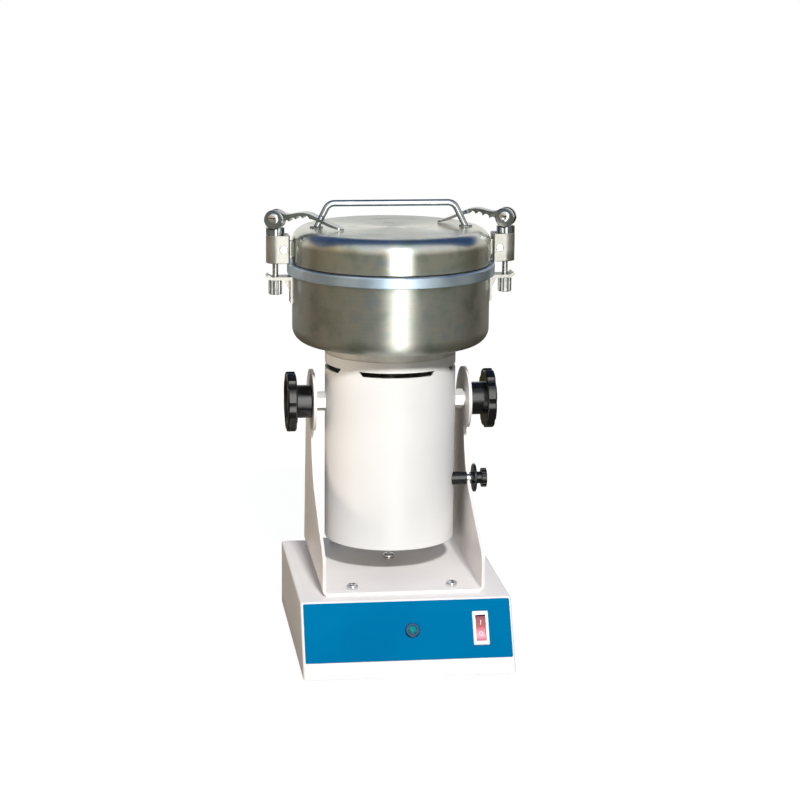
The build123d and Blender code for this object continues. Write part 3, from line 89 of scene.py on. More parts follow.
# Studio
# A white sweep of paper under a hard key light and a soft pale sky. The key stands in front, a
# little to the right and above, so that the bowl shades the top of the housing.
KEY_AZIMUTH = math.radians(4.0)
KEY_ELEVATION = math.radians(37.0)
KEY_ACROSS = (math.cos(KEY_AZIMUTH), math.sin(KEY_AZIMUTH), 0)
KEY_DISTANCE = 3.0
KEY_SIZE = 0.30
KEY_POWER = 98.0
WHITE = (1, 1, 1, 1)
# A blue patch of ceiling, wide from side to side, which gives the lid its blue band
PATCH_WIDTH = (0.16, 1.0, 1.0)
PATCH_TOWARDS = (0.0, 0.40, 0.917)
PATCH_EDGE = {"From Min": 0.79, "From Max": 0.87}
PATCH_BLUE = "2A4C7C"
# A pale wall behind the mill, which the top of the lid mirrors
WALL_BEHIND = {"From Min": 0.30, "From Max": 0.85}
WALL_HEIGHT = {"From Min": 0.50, "From Max": 0.30}
WALL_LIGHT = (0.88, 0.88, 0.85, 1.0)
# A tall strip of light in front, under the key, which draws the streak down lid and bowl
STRIP_EDGE = {"From Min": 0.27, "From Max": 0.05}
STRIP_FRONT = {"From Min": -0.05, "From Max": -0.20}
STRIP_HEIGHT = {"From Min": 0.80, "From Max": 0.55}
STRIP_LIGHT = (5.4, 5.4, 5.2, 1.0)
# Tan light close to the horizon on the left, which warms the left sides
TAN_SIDE = {"From Min": -0.84, "From Max": -0.96}
TAN_HEIGHT = {"From Min": 0.22, "From Max": 0.02}
TAN_LIGHT = (6.4, 5.3, 4.2, 1.0)
TAN_MIRRORED = {"From Min": -0.95, "From Max": -0.55}
FLOOR_HALF = 3.0
FLOOR_GLOW = 0.94
FLOOR_LEFT = {"From Min": -0.30, "From Max": -0.08}
FLOOR_DEPTH = {"From Min": -0.8, "From Max": 0.5}
LANE_START = {"From Min": -0.05, "From Max": -0.25}
LANE_LIGHT = (4.4, 4.4, 4.3, 1.0)


def colour(code):
    """An sRGB hex colour as linear red, green, blue and alpha."""
    parts = [int(code[i:i + 2], 16) / 255 for i in (0, 2, 4)]
    linear = [c / 12.92 if c <= 0.04045 else ((c + 0.055) / 1.055) ** 2.4 for c in parts]
    return (*linear, 1.0)


def add(tree, kind, inputs=None, **settings):
    """Add a node to a tree, with its settings, and its inputs as values or as sockets to link.

    A colour mix has its share at input 0, its colours at 6 and 7, and its result at output 2.
    """
    made = tree.nodes.new(kind)
    for name, value in settings.items():
        setattr(made, name, value)
    for name, value in (inputs or {}).items():
        if isinstance(value, bpy.types.NodeSocket):
            tree.links.new(value, made.inputs[name])
        else:
            made.inputs[name].default_value = value
    return made


def stops(ramp, *places):
    """Set a colour ramp's stops, given as (position, hex colour)."""
    elements = ramp.color_ramp.elements
    while len(elements) < len(places):
        elements.new(0.5)
    for element, (position, code) in zip(elements, places):
        element.position = position
        element.color = colour(code)


world = bpy.data.worlds.new("studio")
bpy.context.scene.world = world
world.use_nodes = True
tree = world.node_tree
tree.nodes.clear()
direction = add(tree, "ShaderNodeTexCoord").outputs["Generated"]
axes = add(tree, "ShaderNodeSeparateXYZ", {0: direction})
height = add(tree, "ShaderNodeMapRange", {"Value": axes.outputs["Z"], "From Min": -1.0})

# What shiny pieces mirror: a dark ground under a pale sky, tan towards the left, and over it
# the patch, the wall and the strip
seen = add(tree, "ShaderNodeValToRGB", {"Fac": height.outputs["Result"]})
stops(seen, (0.0, "1C1A18"), (0.40, "3A352E"), (0.495, "2A2620"), (0.52, "CCC8BC"),
      (0.62, "DAD5CA"), (0.68, "EEF0F0"), (0.83, "F4F8FC"), (1.0, "C4D4E8"))
left = add(tree, "ShaderNodeMapRange", {"Value": axes.outputs["X"], **TAN_MIRRORED})
tan = add(tree, "ShaderNodeValToRGB", {"Fac": left.outputs["Result"]})
stops(tan, (0.0, "DCC8A8"), (1.0, "FFFFFF"))
tanned = add(tree, "ShaderNodeMix", {0: 1.0, 6: seen.outputs["Color"], 7: tan.outputs["Color"]},
             data_type="RGBA", blend_type="MULTIPLY")

squeezed = add(tree, "ShaderNodeVectorMath", {0: direction, 1: PATCH_WIDTH}, operation="MULTIPLY")
even = add(tree, "ShaderNodeVectorMath", {0: squeezed.outputs[0]}, operation="NORMALIZE")
near = add(tree, "ShaderNodeVectorMath", {0: even.outputs[0], 1: PATCH_TOWARDS},
           operation="DOT_PRODUCT")
inside = add(tree, "ShaderNodeMapRange", {"Value": near.outputs["Value"], **PATCH_EDGE})
patched = add(tree, "ShaderNodeMix", {
    0: inside.outputs["Result"], 6: tanned.outputs[2], 7: colour(PATCH_BLUE)}, data_type="RGBA")

behind = add(tree, "ShaderNodeMapRange", {"Value": axes.outputs["Y"], **WALL_BEHIND})
under = add(tree, "ShaderNodeMapRange", {"Value": axes.outputs["Z"], **WALL_HEIGHT})
wall = add(tree, "ShaderNodeMath", {0: behind.outputs["Result"], 1: under.outputs["Result"]},
           operation="MULTIPLY")
walled = add(tree, "ShaderNodeMix", {0: wall.outputs[0], 6: patched.outputs[2], 7: WALL_LIGHT},
             data_type="RGBA")

across = add(tree, "ShaderNodeVectorMath", {0: direction, 1: KEY_ACROSS}, operation="DOT_PRODUCT")
aside = add(tree, "ShaderNodeMath", {0: across.outputs["Value"]}, operation="ABSOLUTE")
narrow = add(tree, "ShaderNodeMapRange", {"Value": aside.outputs[0], **STRIP_EDGE})
facing = add(tree, "ShaderNodeMapRange", {"Value": axes.outputs["Y"], **STRIP_FRONT})
lower = add(tree, "ShaderNodeMapRange", {"Value": axes.outputs["Z"], **STRIP_HEIGHT})
front = add(tree, "ShaderNodeMath", {0: facing.outputs["Result"], 1: lower.outputs["Result"]},
            operation="MULTIPLY")
strip = add(tree, "ShaderNodeMath", {0: front.outputs[0], 1: narrow.outputs["Result"]},
            operation="MULTIPLY")
mirrored = add(tree, "ShaderNodeMix", {0: strip.outputs[0], 6: walled.outputs[2], 7: STRIP_LIGHT},
               data_type="RGBA")

# What lights matt pieces: the soft sky, and the tan light low on the left
sky = add(tree, "ShaderNodeValToRGB", {"Fac": height.outputs["Result"]})
stops(sky, (0.0, "1C1B1A"), (0.47, "32312F"), (0.55, "525456"), (1.0, "7C8698"))
warm = add(tree, "ShaderNodeMapRange", {"Value": axes.outputs["X"], **TAN_SIDE})
low = add(tree, "ShaderNodeMapRange", {"Value": axes.outputs["Z"], **TAN_HEIGHT})
share = add(tree, "ShaderNodeMath", {0: warm.outputs["Result"], 1: low.outputs["Result"]},
            operation="MULTIPLY")
tinted = add(tree, "ShaderNodeMix", {0: share.outputs[0], 6: sky.outputs["Color"], 7: TAN_LIGHT},
             data_type="RGBA")

path = add(tree, "ShaderNodeLightPath")
glossy = add(tree, "ShaderNodeMath", {
    0: path.outputs["Is Glossy Ray"], 1: path.outputs["Is Transmission Ray"]}, operation="MAXIMUM")
lit = add(tree, "ShaderNodeMix", {
    0: glossy.outputs[0], 6: tinted.outputs[2], 7: mirrored.outputs[2]}, data_type="RGBA")
shown = add(tree, "ShaderNodeMix", {0: path.outputs["Is Camera Ray"], 6: lit.outputs[2], 7: WHITE},
            data_type="RGBA")
backdrop = add(tree, "ShaderNodeBackground", {"Color": shown.outputs[2], "Strength": 1.0})
add(tree, "ShaderNodeOutputWorld", {"Surface": backdrop.outputs["Background"]})

key_data = bpy.data.lights.new("key", "AREA")
key_data.energy = KEY_POWER
key_data.size = KEY_SIZE
key = bpy.data.objects.new("key", key_data)
towards_key = Vector((
    math.sin(KEY_AZIMUTH) * math.cos(KEY_ELEVATION),
    -math.cos(KEY_AZIMUTH) * math.cos(KEY_ELEVATION),
    math.sin(KEY_ELEVATION),
))
key.location = Vector((0, axis_y, LOOK_HEIGHT)) + towards_key * KEY_DISTANCE
key.rotation_mode = "QUATERNION"
key.rotation_quaternion = towards_key.to_track_quat("Z", "Y")
# Shiny pieces mirror the strip in its place
key.visible_glossy = False
bpy.context.collection.objects.link(key)

floor_mesh = bpy.data.meshes.new("floor")
corners = [(-FLOOR_HALF, -FLOOR_HALF, 0), (FLOOR_HALF, -FLOOR_HALF, 0),
           (FLOOR_HALF, FLOOR_HALF, 0), (-FLOOR_HALF, FLOOR_HALF, 0)]
floor_mesh.from_pydata(corners, [], [(0, 1, 2, 3)])
floor = bpy.data.objects.new("floor", floor_mesh)
bpy.context.collection.objects.link(floor)
paper = bpy.data.materials.new("white_paper")
paper.use_nodes = True
tree = paper.node_tree
tree.nodes.clear()
path = add(tree, "ShaderNodeLightPath")
place = add(tree, "ShaderNodeTexCoord").outputs["Object"]
axes = add(tree, "ShaderNodeSeparateXYZ", {0: place})
# The camera sees white paper. What it throws back on the mill is warm on the left, else grey
glow = add(tree, "ShaderNodeEmission", {"Color": WHITE, "Strength": FLOOR_GLOW})
leftward = add(tree, "ShaderNodeMapRange", {"Value": axes.outputs["X"], **FLOOR_LEFT})
sheet = add(tree, "ShaderNodeValToRGB", {"Fac": leftward.outputs["Result"]})
stops(sheet, (0.0, "EADFC9"), (1.0, "88847C"))
matt = add(tree, "ShaderNodeBsdfDiffuse", {"Color": sheet.outputs["Color"]})
# In shiny pieces the paper looks grey in front of the mill and dark behind it
far = add(tree, "ShaderNodeMapRange", {"Value": axes.outputs["Y"], **FLOOR_DEPTH})
grey = add(tree, "ShaderNodeValToRGB", {"Fac": far.outputs["Result"]})
stops(grey, (0.0, "8C9085"), (1.0, "524B38"))
# A bright lane under the strip carries the streak on over the bowl's lower edge
across = add(tree, "ShaderNodeVectorMath", {0: place, 1: KEY_ACROSS}, operation="DOT_PRODUCT")
slant = add(tree, "ShaderNodeMath", {0: across.outputs["Value"], 1: axes.outputs["Y"]},
            operation="DIVIDE")
aside = add(tree, "ShaderNodeMath", {0: slant.outputs[0]}, operation="ABSOLUTE")
narrow = add(tree, "ShaderNodeMapRange", {"Value": aside.outputs[0], **STRIP_EDGE})
in_front = add(tree, "ShaderNodeMapRange", {"Value": axes.outputs["Y"], **LANE_START})
lane = add(tree, "ShaderNodeMath", {0: narrow.outputs["Result"], 1: in_front.outputs["Result"]},
           operation="MULTIPLY")
floor_seen = add(tree, "ShaderNodeMix", {
    0: lane.outputs[0], 6: grey.outputs["Color"], 7: LANE_LIGHT}, data_type="RGBA")
dark = add(tree, "ShaderNodeEmission", {"Color": floor_seen.outputs[2], "Strength": 1.0})
none = add(tree, "ShaderNodeEmission", {"Strength": 0.0})
switch = add(tree, "ShaderNodeMixShader", {
    0: path.outputs["Is Camera Ray"], 1: none.outputs[0], 2: glow.outputs[0]})
both = add(tree, "ShaderNodeAddShader", {0: matt.outputs[0], 1: switch.outputs[0]})
paper_seen = add(tree, "ShaderNodeMixShader", {
    0: path.outputs["Is Glossy Ray"], 1: both.outputs[0], 2: dark.outputs[0]})
add(tree, "ShaderNodeOutputMaterial", {"Surface": paper_seen.outputs[0]})
floor_mesh.materials.append(paper)
floor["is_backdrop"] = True


# Base and yoke
# The base is folded from steel sheet and the yoke from thicker plate. Both are sprayed with a
# grey-white enamel, which is smooth with a faint orange peel and goes a little dull by handling.
MM = 0.001
PEEL_HEIGHT = 0.0003
# The part of a noise's range over which gloss and tone change
DRIFT_FROM, DRIFT_TO = 0.30, 0.70
TONE_FROM, TONE_TO = 0.35, 0.65


def new_material(name, values):
    """A material with only a Principled shader on its output, with that shader's plain values."""
    material = bpy.data.materials.new(name)
    material.use_nodes = True
    tree = material.node_tree
    tree.nodes.clear()
    shader = add(tree, "ShaderNodeBsdfPrincipled", values)
    add(tree, "ShaderNodeOutputMaterial", {"Surface": shader.outputs[0]})
    return material, tree, shader


def surface(name, tones, cloud, grain, bump, roughness, **values):
    """A finish whose tone and gloss drift over `cloud` mm, with a bump of `grain` mm each way."""
    material, tree, shader = new_material(name, {"Metallic": 0.0, **values})
    place = add(tree, "ShaderNodeTexCoord").outputs["Object"]
    drift = add(tree, "ShaderNodeTexNoise", {
        "Vector": place, "Scale": 1 / (cloud * MM), "Detail": 3.0})
    tone = add(tree, "ShaderNodeValToRGB", {"Fac": drift.outputs["Fac"]})
    stops(tone, (TONE_FROM, tones[0]), (TONE_TO, tones[1]))
    tree.links.new(tone.outputs["Color"], shader.inputs["Base Color"])
    gloss = add(tree, "ShaderNodeMapRange", {
        "Value": drift.outputs["Fac"], "From Min": DRIFT_FROM, "From Max": DRIFT_TO,
        "To Min": roughness[0], "To Max": roughness[1]})
    tree.links.new(gloss.outputs["Result"], shader.inputs["Roughness"])
    grains = tuple(1 / (size * MM) for size in grain)
    stretched = add(tree, "ShaderNodeVectorMath", {0: place, 1: grains}, operation="MULTIPLY")
    rough = add(tree, "ShaderNodeTexNoise", {
        "Vector": stretched.outputs[0], "Scale": 1.0, "Detail": 2.0})
    raised = add(tree, "ShaderNodeBump", {
        "Height": rough.outputs["Fac"], "Strength": bump, "Distance": PEEL_HEIGHT})
    tree.links.new(raised.outputs["Normal"], shader.inputs["Normal"])
    return material


def dress(material, *names):
    """Give CAD nodes a material."""
    for name in names:
        cad[name].material_slots[0].material = material


grey_enamel = surface("sprayed_grey_white_enamel", tones=("E9E4E1", "EFEAE8"), cloud=110,
                      grain=(2.4, 2.4, 2.4), bump=0.08, roughness=(0.34, 0.44))
dress(grey_enamel, "base_shell", "yoke_bracket")


# Front panel
# A thin plate on the sloped front, screen printed in one flat blue. The ink dries almost
# without shine, so the panel keeps the same colour from every side.
panel_blue = surface("matt_blue_panel_ink", tones=("006A9A", "00709F"), cloud=70,
                     grain=(1.4, 1.4, 1.4), bump=0.05, roughness=(0.45, 0.55),
                     **{"Specular IOR Level": 0.02})
dress(panel_blue, "front_panel")


# Pilot lamp
# A moulded dark blue bezel holds a domed lens of clear green acrylic over an unlit lamp.
# Nothing shines through it, so the lens is deep in colour with one soft light on its dome.
bezel = surface("moulded_blue_bezel", tones=("062A4C", "0C3A60"), cloud=7,
                grain=(1.7, 1.7, 1.7), bump=0.06, roughness=(0.26, 0.36))
lens = surface("green_acrylic_lens", tones=("066A72", "0E8488"), cloud=5,
               grain=(2.0, 2.0, 2.0), bump=0.06, roughness=(0.20, 0.30),
               **{"Specular IOR Level": 0.2})
dress(bezel, "pilot_lamp_body")
dress(lens, "pilot_lamp_lens")


# Rocker switch
# A white nylon frame snaps into the panel and a red polycarbonate key rocks in it. The key's
# colour is painted paler at its lower end as a painted highlight, and darker towards its upper end
# as painted shade. On and off are printed on the key as a bar and a ring.
nylon = surface("moulded_white_nylon", tones=("EDEDEB", "F5F5F3"), cloud=14,
                grain=(2.0, 2.0, 2.0), bump=0.06, roughness=(0.25, 0.38))
dress(nylon, "switch_frame")

key_low, key_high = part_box("switch_rocker")
rocker_red_painted_light, tree, shader = new_material("rocker_red_painted_highlight_and_shade", {"Roughness": 0.12})
place = add(tree, "ShaderNodeTexCoord").outputs["Object"]
axes = add(tree, "ShaderNodeSeparateXYZ", {0: place})
height = add(tree, "ShaderNodeMapRange", {
    "Value": axes.outputs["Z"], "From Min": key_low.z, "From Max": key_high.z})
# Painted highlight low on the key and painted shade towards its top, laid along its height
tone = add(tree, "ShaderNodeValToRGB", {"Fac": height.outputs["Result"]})
stops(tone, (0.05, "B23A56"), (0.25, "F0A4B6"), (0.45, "D86A82"), (0.60, "A0142E"),
      (1.0, "7C0C1E"))
tree.links.new(tone.outputs["Color"], shader.inputs["Base Color"])
dress(rocker_red_painted_light, "switch_rocker")

panel_low, panel_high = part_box("front_panel")
down = Vector((0, panel_low.y - panel_high.y, panel_low.z - panel_high.z)).normalized()
outward = Vector((0, down.z, -down.y))
key_middle = (key_low + key_high) / 2
MARK_PROUD = 0.00006
MARK_STROKE = 0.0007
MARK_FROM_MIDDLE = 0.0052
RING_RADIUS = 0.0021
RING_STEPS = 32
BAR_HALF = 0.0022
BAR_STEPS = 6
EYE_DISTANCE = 0.02


def on_key(across, along):
    """The place on the key's face at that distance from its middle, just proud of it."""
    start = key_middle + Vector((across, 0, 0)) + down * along + outward * EYE_DISTANCE
    return cad["switch_rocker"].ray_cast(start, -outward)[1] + outward * MARK_PROUD


def new_object(name, vertices, edges, faces):
    """An object at the origin with that mesh."""
    mesh = bpy.data.meshes.new(name)
    mesh.from_pydata(vertices, edges, faces)
    made = bpy.data.objects.new(name, mesh)
    bpy.context.collection.objects.link(made)
    return made


vertices, faces = [], []
for step in range(RING_STEPS):
    turn = 2 * math.pi * step / RING_STEPS
    for radius in (RING_RADIUS, RING_RADIUS - MARK_STROKE):
        along = MARK_FROM_MIDDLE + radius * math.cos(turn)
        vertices.append(on_key(radius * math.sin(turn), along))
    after = (2 * step + 2) % (2 * RING_STEPS)
    faces.append((2 * step, 2 * step + 1, after + 1, after))
first = len(vertices)
for step in range(BAR_STEPS + 1):
    along = -MARK_FROM_MIDDLE - BAR_HALF + 2 * BAR_HALF * step / BAR_STEPS
    vertices += [on_key(-MARK_STROKE / 2, along), on_key(MARK_STROKE / 2, along)]
    if step:
        corner = first + 2 * step
        faces.append((corner - 2, corner - 1, corner + 1, corner))
marks = new_object("switch_marks", vertices, [], faces)
ink = surface("white_pad_print", tones=("EFE8E8", "F8F2F2"), cloud=3,
              grain=(1.1, 1.1, 1.1), bump=0.05, roughness=(0.35, 0.45))
marks.data.materials.append(ink)
marks.modifiers.new("ink_thickness", "SOLIDIFY").thickness = -MARK_PROUD
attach(marks, "rocker")


# Underside, feet and power inlet
# The bottom plate and its screws are galvanised and passivated, which gives a cloudy grey.
# The feet are moulded rubber with a dead surface and the inlet is a textured black moulding.
# Nuts and bearings, seals and the fan further up are of the same three materials.
zinc = surface("passivated_zinc", tones=("A9ABA8", "C0C1BE"), cloud=20,
               grain=(1.2, 1.2, 1.2), bump=0.12, roughness=(0.38, 0.52), Metallic=1.0)
rubber = surface("moulded_black_rubber", tones=("161514", "201F1E"), cloud=12,
                 grain=(1.6, 1.6, 1.6), bump=0.30, roughness=(0.70, 0.85))
moulding = surface("textured_black_moulding", tones=("18181A", "202022"), cloud=16,
                   grain=(2.0, 2.0, 2.0), bump=0.20, roughness=(0.45, 0.60))
dress(zinc, "base_bottom_plate", "base_screws", "trunnion_nuts", "lower_bearing", "upper_bearing")
dress(rubber, "rubber_feet", "lid_gasket", "shaft_seal")
dress(moulding, "power_inlet", "cooling_fan")


# Motor housing and end shields
# The housing is rolled steel tube in a warmer white enamel. The shields that close it are sand
# cast aluminium, left as cast at the rim under the bowl, so they are pale and a little grainy.
white_enamel = surface("sprayed_white_enamel", tones=("E6E5E2", "ECEBE9"), cloud=90,
                       grain=(1.9, 1.9, 1.9), bump=0.07, roughness=(0.38, 0.48))
cast = surface("sand_cast_aluminium", tones=("C6C4BE", "DAD8D2"), cloud=16,
               grain=(3.1, 3.1, 3.1), bump=0.35, roughness=(0.50, 0.62), Metallic=0.2)
dress(white_enamel, "motor_housing")
dress(cast, "upper_end_shield", "lower_end_shield")


# Motor inside
# Stator and rotor are stacks of punched steel sheets, seen as fine lines across the axis and
# browned by the varnish they were dipped in.
laminated = surface("varnished_core_sheets", tones=("55524F", "68645F"), cloud=14,
                    grain=(25, 25, 0.5), bump=0.30, roughness=(0.50, 0.65), Metallic=1.0)
dress(laminated, "stator", "rotor_core")


# Trunnions, swing knobs and lock
# Hexagon studs of bright zinc plated steel carry the housing. The knobs, the lock's wheel, knob
# and boss are turned from bakelite, near black with a polish that shows sharp small lights.
def pair(*names):
    """The left and the right node of each name."""
    return [f"{side}_{name}" for name in names for side in ("left", "right")]


bright_zinc = surface("bright_zinc_plate", tones=("F0F0EE", "FAFAF8"), cloud=11,
                      grain=(1.1, 1.1, 1.1), bump=0.10, roughness=(0.40, 0.55), Metallic=0.5)
bakelite = surface("polished_black_bakelite", tones=("0B0A0C", "121113"), cloud=20,
                   grain=(6.7, 6.7, 6.7), bump=0.10, roughness=(0.10, 0.18))
dress(bright_zinc, *pair("trunnion_stud"))
dress(bakelite, *pair("swing_knob"), "lock_end_knob", "lock_wheel", "lock_boss")


# Bowl and lid
# Both are spun from stainless steel and brushed round their axis while they still turned on the
# lathe, so a light draws a long streak across the brushing. Use has left them faintly mottled.
# Width of a brush line and size of a mottle in millimetres, and how little a line changes as it
# runs on round the axis
BRUSH_LINE = 0.67
MOTTLE = 22
BRUSH_LINE_CHANGE = 0.004
BRUSH_STREAK = 0.80
BRUSH_DEPTH = 0.12
for name, roughness, shade, node in (
    ("brushed_stainless_bowl", 0.40, (0.74, 0.92), "bowl"),
    ("polished_stainless_lid", 0.26, (1.10, 1.28), "lid"),
):
    steel, tree, shader = new_material(name, {
        "Metallic": 1.0, "Roughness": roughness, "Anisotropic": BRUSH_STREAK,
        "Anisotropic Rotation": 0.25})
    place = add(tree, "ShaderNodeTexCoord").outputs["Object"]
    centred = add(tree, "ShaderNodeVectorMath", {0: place, 1: (0, axis_y, 0)}, operation="SUBTRACT")
    around = add(tree, "ShaderNodeVectorMath", {0: (0, 0, 1), 1: centred.outputs[0]},
                 operation="CROSS_PRODUCT")
    tree.links.new(around.outputs[0], shader.inputs["Tangent"])
    axes = add(tree, "ShaderNodeSeparateXYZ", {0: centred.outputs[0]})
    radius = add(tree, "ShaderNodeVectorMath", {0: around.outputs[0]}, operation="LENGTH")
    angle = add(tree, "ShaderNodeMath", {0: axes.outputs["Y"], 1: axes.outputs["X"]},
                operation="ARCTAN2")
    drawn_out = add(tree, "ShaderNodeMath", {0: angle.outputs[0], 1: BRUSH_LINE_CHANGE},
                    operation="MULTIPLY")
    along_brush = add(tree, "ShaderNodeCombineXYZ", {
        "X": radius.outputs["Value"], "Y": drawn_out.outputs[0], "Z": axes.outputs["Z"]})
    # Real brushing is finer than the picture can show, so its lines are drawn this coarse
    lines = add(tree, "ShaderNodeTexNoise", {
        "Vector": along_brush.outputs[0], "Scale": 1 / (BRUSH_LINE * MM), "Detail": 3.0})
    mottle = add(tree, "ShaderNodeTexNoise", {
        "Vector": place, "Scale": 1 / (MOTTLE * MM), "Detail": 5.0})
    tone = add(tree, "ShaderNodeValToRGB", {"Fac": mottle.outputs["Fac"]})
    stops(tone, (0.32, "ACB0A4"), (0.44, "BCC0B8"), (0.56, "C6C3B9"), (0.68, "B5BBBB"))
    fine = add(tree, "ShaderNodeMapRange", {
        "Value": lines.outputs["Fac"], "To Min": shade[0], "To Max": shade[1]})
    brushed = add(tree, "ShaderNodeMix", {
        0: 1.0, 6: tone.outputs["Color"], 7: fine.outputs["Result"]}, data_type="RGBA",
        blend_type="MULTIPLY")
    tree.links.new(brushed.outputs[2], shader.inputs["Base Color"])
    raised = add(tree, "ShaderNodeBump", {
        "Height": lines.outputs["Fac"], "Strength": BRUSH_DEPTH, "Distance": PEEL_HEIGHT})
    tree.links.new(raised.outputs["Normal"], shader.inputs["Normal"])
    dress(steel, node)


# Rim ring and machined fittings
# The ring round the bowl's mouth is polished flat bar. Its cold blue tint is a painted reflection
# of blue sky. Ears, blocks, catches and the parts on the shaft are milled and turned stainless,
# with fine tool lines across them.
# Painted reflection: these blue tones stand for the sky that the polished ring mirrors
rim_steel_painted_blue_reflection = surface("polished_rim_stainless_painted_blue_reflection", tones=("BCD2E8", "D2E2F2"), cloud=25,
                     grain=(3.3, 3.3, 0.4), bump=0.10, roughness=(0.36, 0.48), Metallic=1.0)
machined = surface("machined_stainless", tones=("A6A59F", "BEBCB6"), cloud=17,
                   grain=(0.4, 0.4, 7.0), bump=0.14, roughness=(0.34, 0.48), Metallic=1.0)
dress(rim_steel_painted_blue_reflection, "bowl_rim_ring")
dress(machined, *pair("lid_ear", "clamp_block", "bowl_catch"), "lower_blade", "upper_blade",
      "blade_collar", "blade_spacer", "motor_shaft")


# Handle, levers and fasteners
# The handle, the levers and the saddles are polished bright steel, and the pins, nuts, bolts and
# screws are chrome plated. Both mirror the room sharply, the plain steel a little darker.
bright_steel = surface("polished_bright_steel", tones=("A6A9AC", "C2C6C9"), cloud=11,
                       grain=(2.5, 2.5, 2.5), bump=0.05, roughness=(0.10, 0.20), Metallic=1.0)
chrome = surface("chrome_plate", tones=("D4D4D6", "EEEEF0"), cloud=8,
                 grain=(2.0, 2.0, 2.0), bump=0.05, roughness=(0.06, 0.14), Metallic=1.0)
dress(bright_steel, *pair("cam_lever", "cam_saddle"), "lid_handle")
dress(chrome, *pair("cam_pin", "clamp_nut"), "clamp_pins", "yoke_bolts", "blade_nut",
      "lock_screw", "bowl_screws")


# Clamp rods
# Each rod is drawn steel, which is bright and smooth, with a thread rolled into it where it
# shows, between the block and the fork. The thread is one ridge that winds round the rod.
THREAD_PITCH = 0.0011
THREAD_HALF_DEPTH = 0.0003
ROD_RADIUS = 0.00275
TURN_STEPS = 24
RIDGE_SIDES = 4


def new_tree(name, *inputs):
    """A Geometry Nodes tree with a geometry input and output and the named inputs."""
    tree = bpy.data.node_groups.new(name, "GeometryNodeTree")
    tree.interface.new_socket("Geometry", in_out="INPUT", socket_type="NodeSocketGeometry")
    tree.interface.new_socket("Geometry", in_out="OUTPUT", socket_type="NodeSocketGeometry")
    for label, kind in inputs:
        tree.interface.new_socket(label, in_out="INPUT", socket_type=kind)
    return tree, add(tree, "NodeGroupInput").outputs


def close_tree(tree, geometry, material):
    """End a tree in smooth shading, Realize Instances and Set Material."""
    smooth = add(tree, "GeometryNodeSetShadeSmooth", {"Geometry": geometry})
    real = add(tree, "GeometryNodeRealizeInstances", {0: smooth.outputs[0]})
    set_material = add(tree, "GeometryNodeSetMaterial", {
        "Geometry": real.outputs[0], "Material": material})
    add(tree, "NodeGroupOutput", {0: set_material.outputs[0]})


def grown(made, tree, values):
    """Run a tree on an object with these inputs and keep the result as its plain mesh."""
    modifier = made.modifiers.new(tree.name, "NODES")
    modifier.node_group = tree
    for item in tree.interface.items_tree:
        if item.in_out == "INPUT" and item.name in values:
            modifier[item.identifier] = values[item.name]
    graph = bpy.context.evaluated_depsgraph_get()
    mesh = bpy.data.meshes.new_from_object(made.evaluated_get(graph))
    made.modifiers.remove(modifier)
    mesh.name = made.name
    made.data = mesh
    return made


drawn_steel = surface("drawn_steel_rod", tones=("C4C4C0", "DCDCD8"), cloud=5,
                      grain=(1.1, 1.1, 1.1), bump=0.10, roughness=(0.16, 0.28), Metallic=1.0)
dress(drawn_steel, *pair("clamp_rod"))
thread_tree, given = new_tree(
    "rod_thread", ("Rod Radius", "NodeSocketFloat"), ("Half Depth", "NodeSocketFloat"),
    ("Turns", "NodeSocketFloat"), ("Length", "NodeSocketFloat"), ("Foot", "NodeSocketVector"),
    ("Turn Steps", "NodeSocketInt"), ("Material", "NodeSocketMaterial"))
helix = add(thread_tree, "GeometryNodeCurveSpiral", {
    "Resolution": given["Turn Steps"], "Rotations": given["Turns"], "Height": given["Length"],
    "Start Radius": given["Rod Radius"], "End Radius": given["Rod Radius"]})
upright = add(thread_tree, "GeometryNodeSetCurveNormal", {"Curve": helix.outputs[0]}, mode="Z_UP")
ridge = add(thread_tree, "GeometryNodeCurvePrimitiveCircle", {
    "Resolution": RIDGE_SIDES, "Radius": given["Half Depth"]})
wound = add(thread_tree, "GeometryNodeCurveToMesh", {
    "Curve": upright.outputs[0], "Profile Curve": ridge.outputs[0], "Fill Caps": True})
placed = add(thread_tree, "GeometryNodeTransform", {
    "Geometry": wound.outputs[0], "Translation": given["Foot"]})
close_tree(thread_tree, placed.outputs[0], given["Material"])
for side in ("left", "right"):
    nut_low, nut_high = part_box(f"{side}_clamp_nut")
    middle = (nut_low + nut_high) / 2
    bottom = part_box(f"{side}_bowl_catch")[1].z
    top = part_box(f"{side}_clamp_block")[0].z
    length = top - bottom - THREAD_PITCH
    thread = grown(new_object(f"{side}_rod_thread", [], [], []), thread_tree, {
        "Rod Radius": ROD_RADIUS, "Half Depth": THREAD_HALF_DEPTH, "Turns": length / THREAD_PITCH,
        "Length": length, "Turn Steps": TURN_STEPS, "Material": drawn_steel,
        "Foot": (middle.x, middle.y, bottom + THREAD_PITCH / 2)})
    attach(thread, "mill")


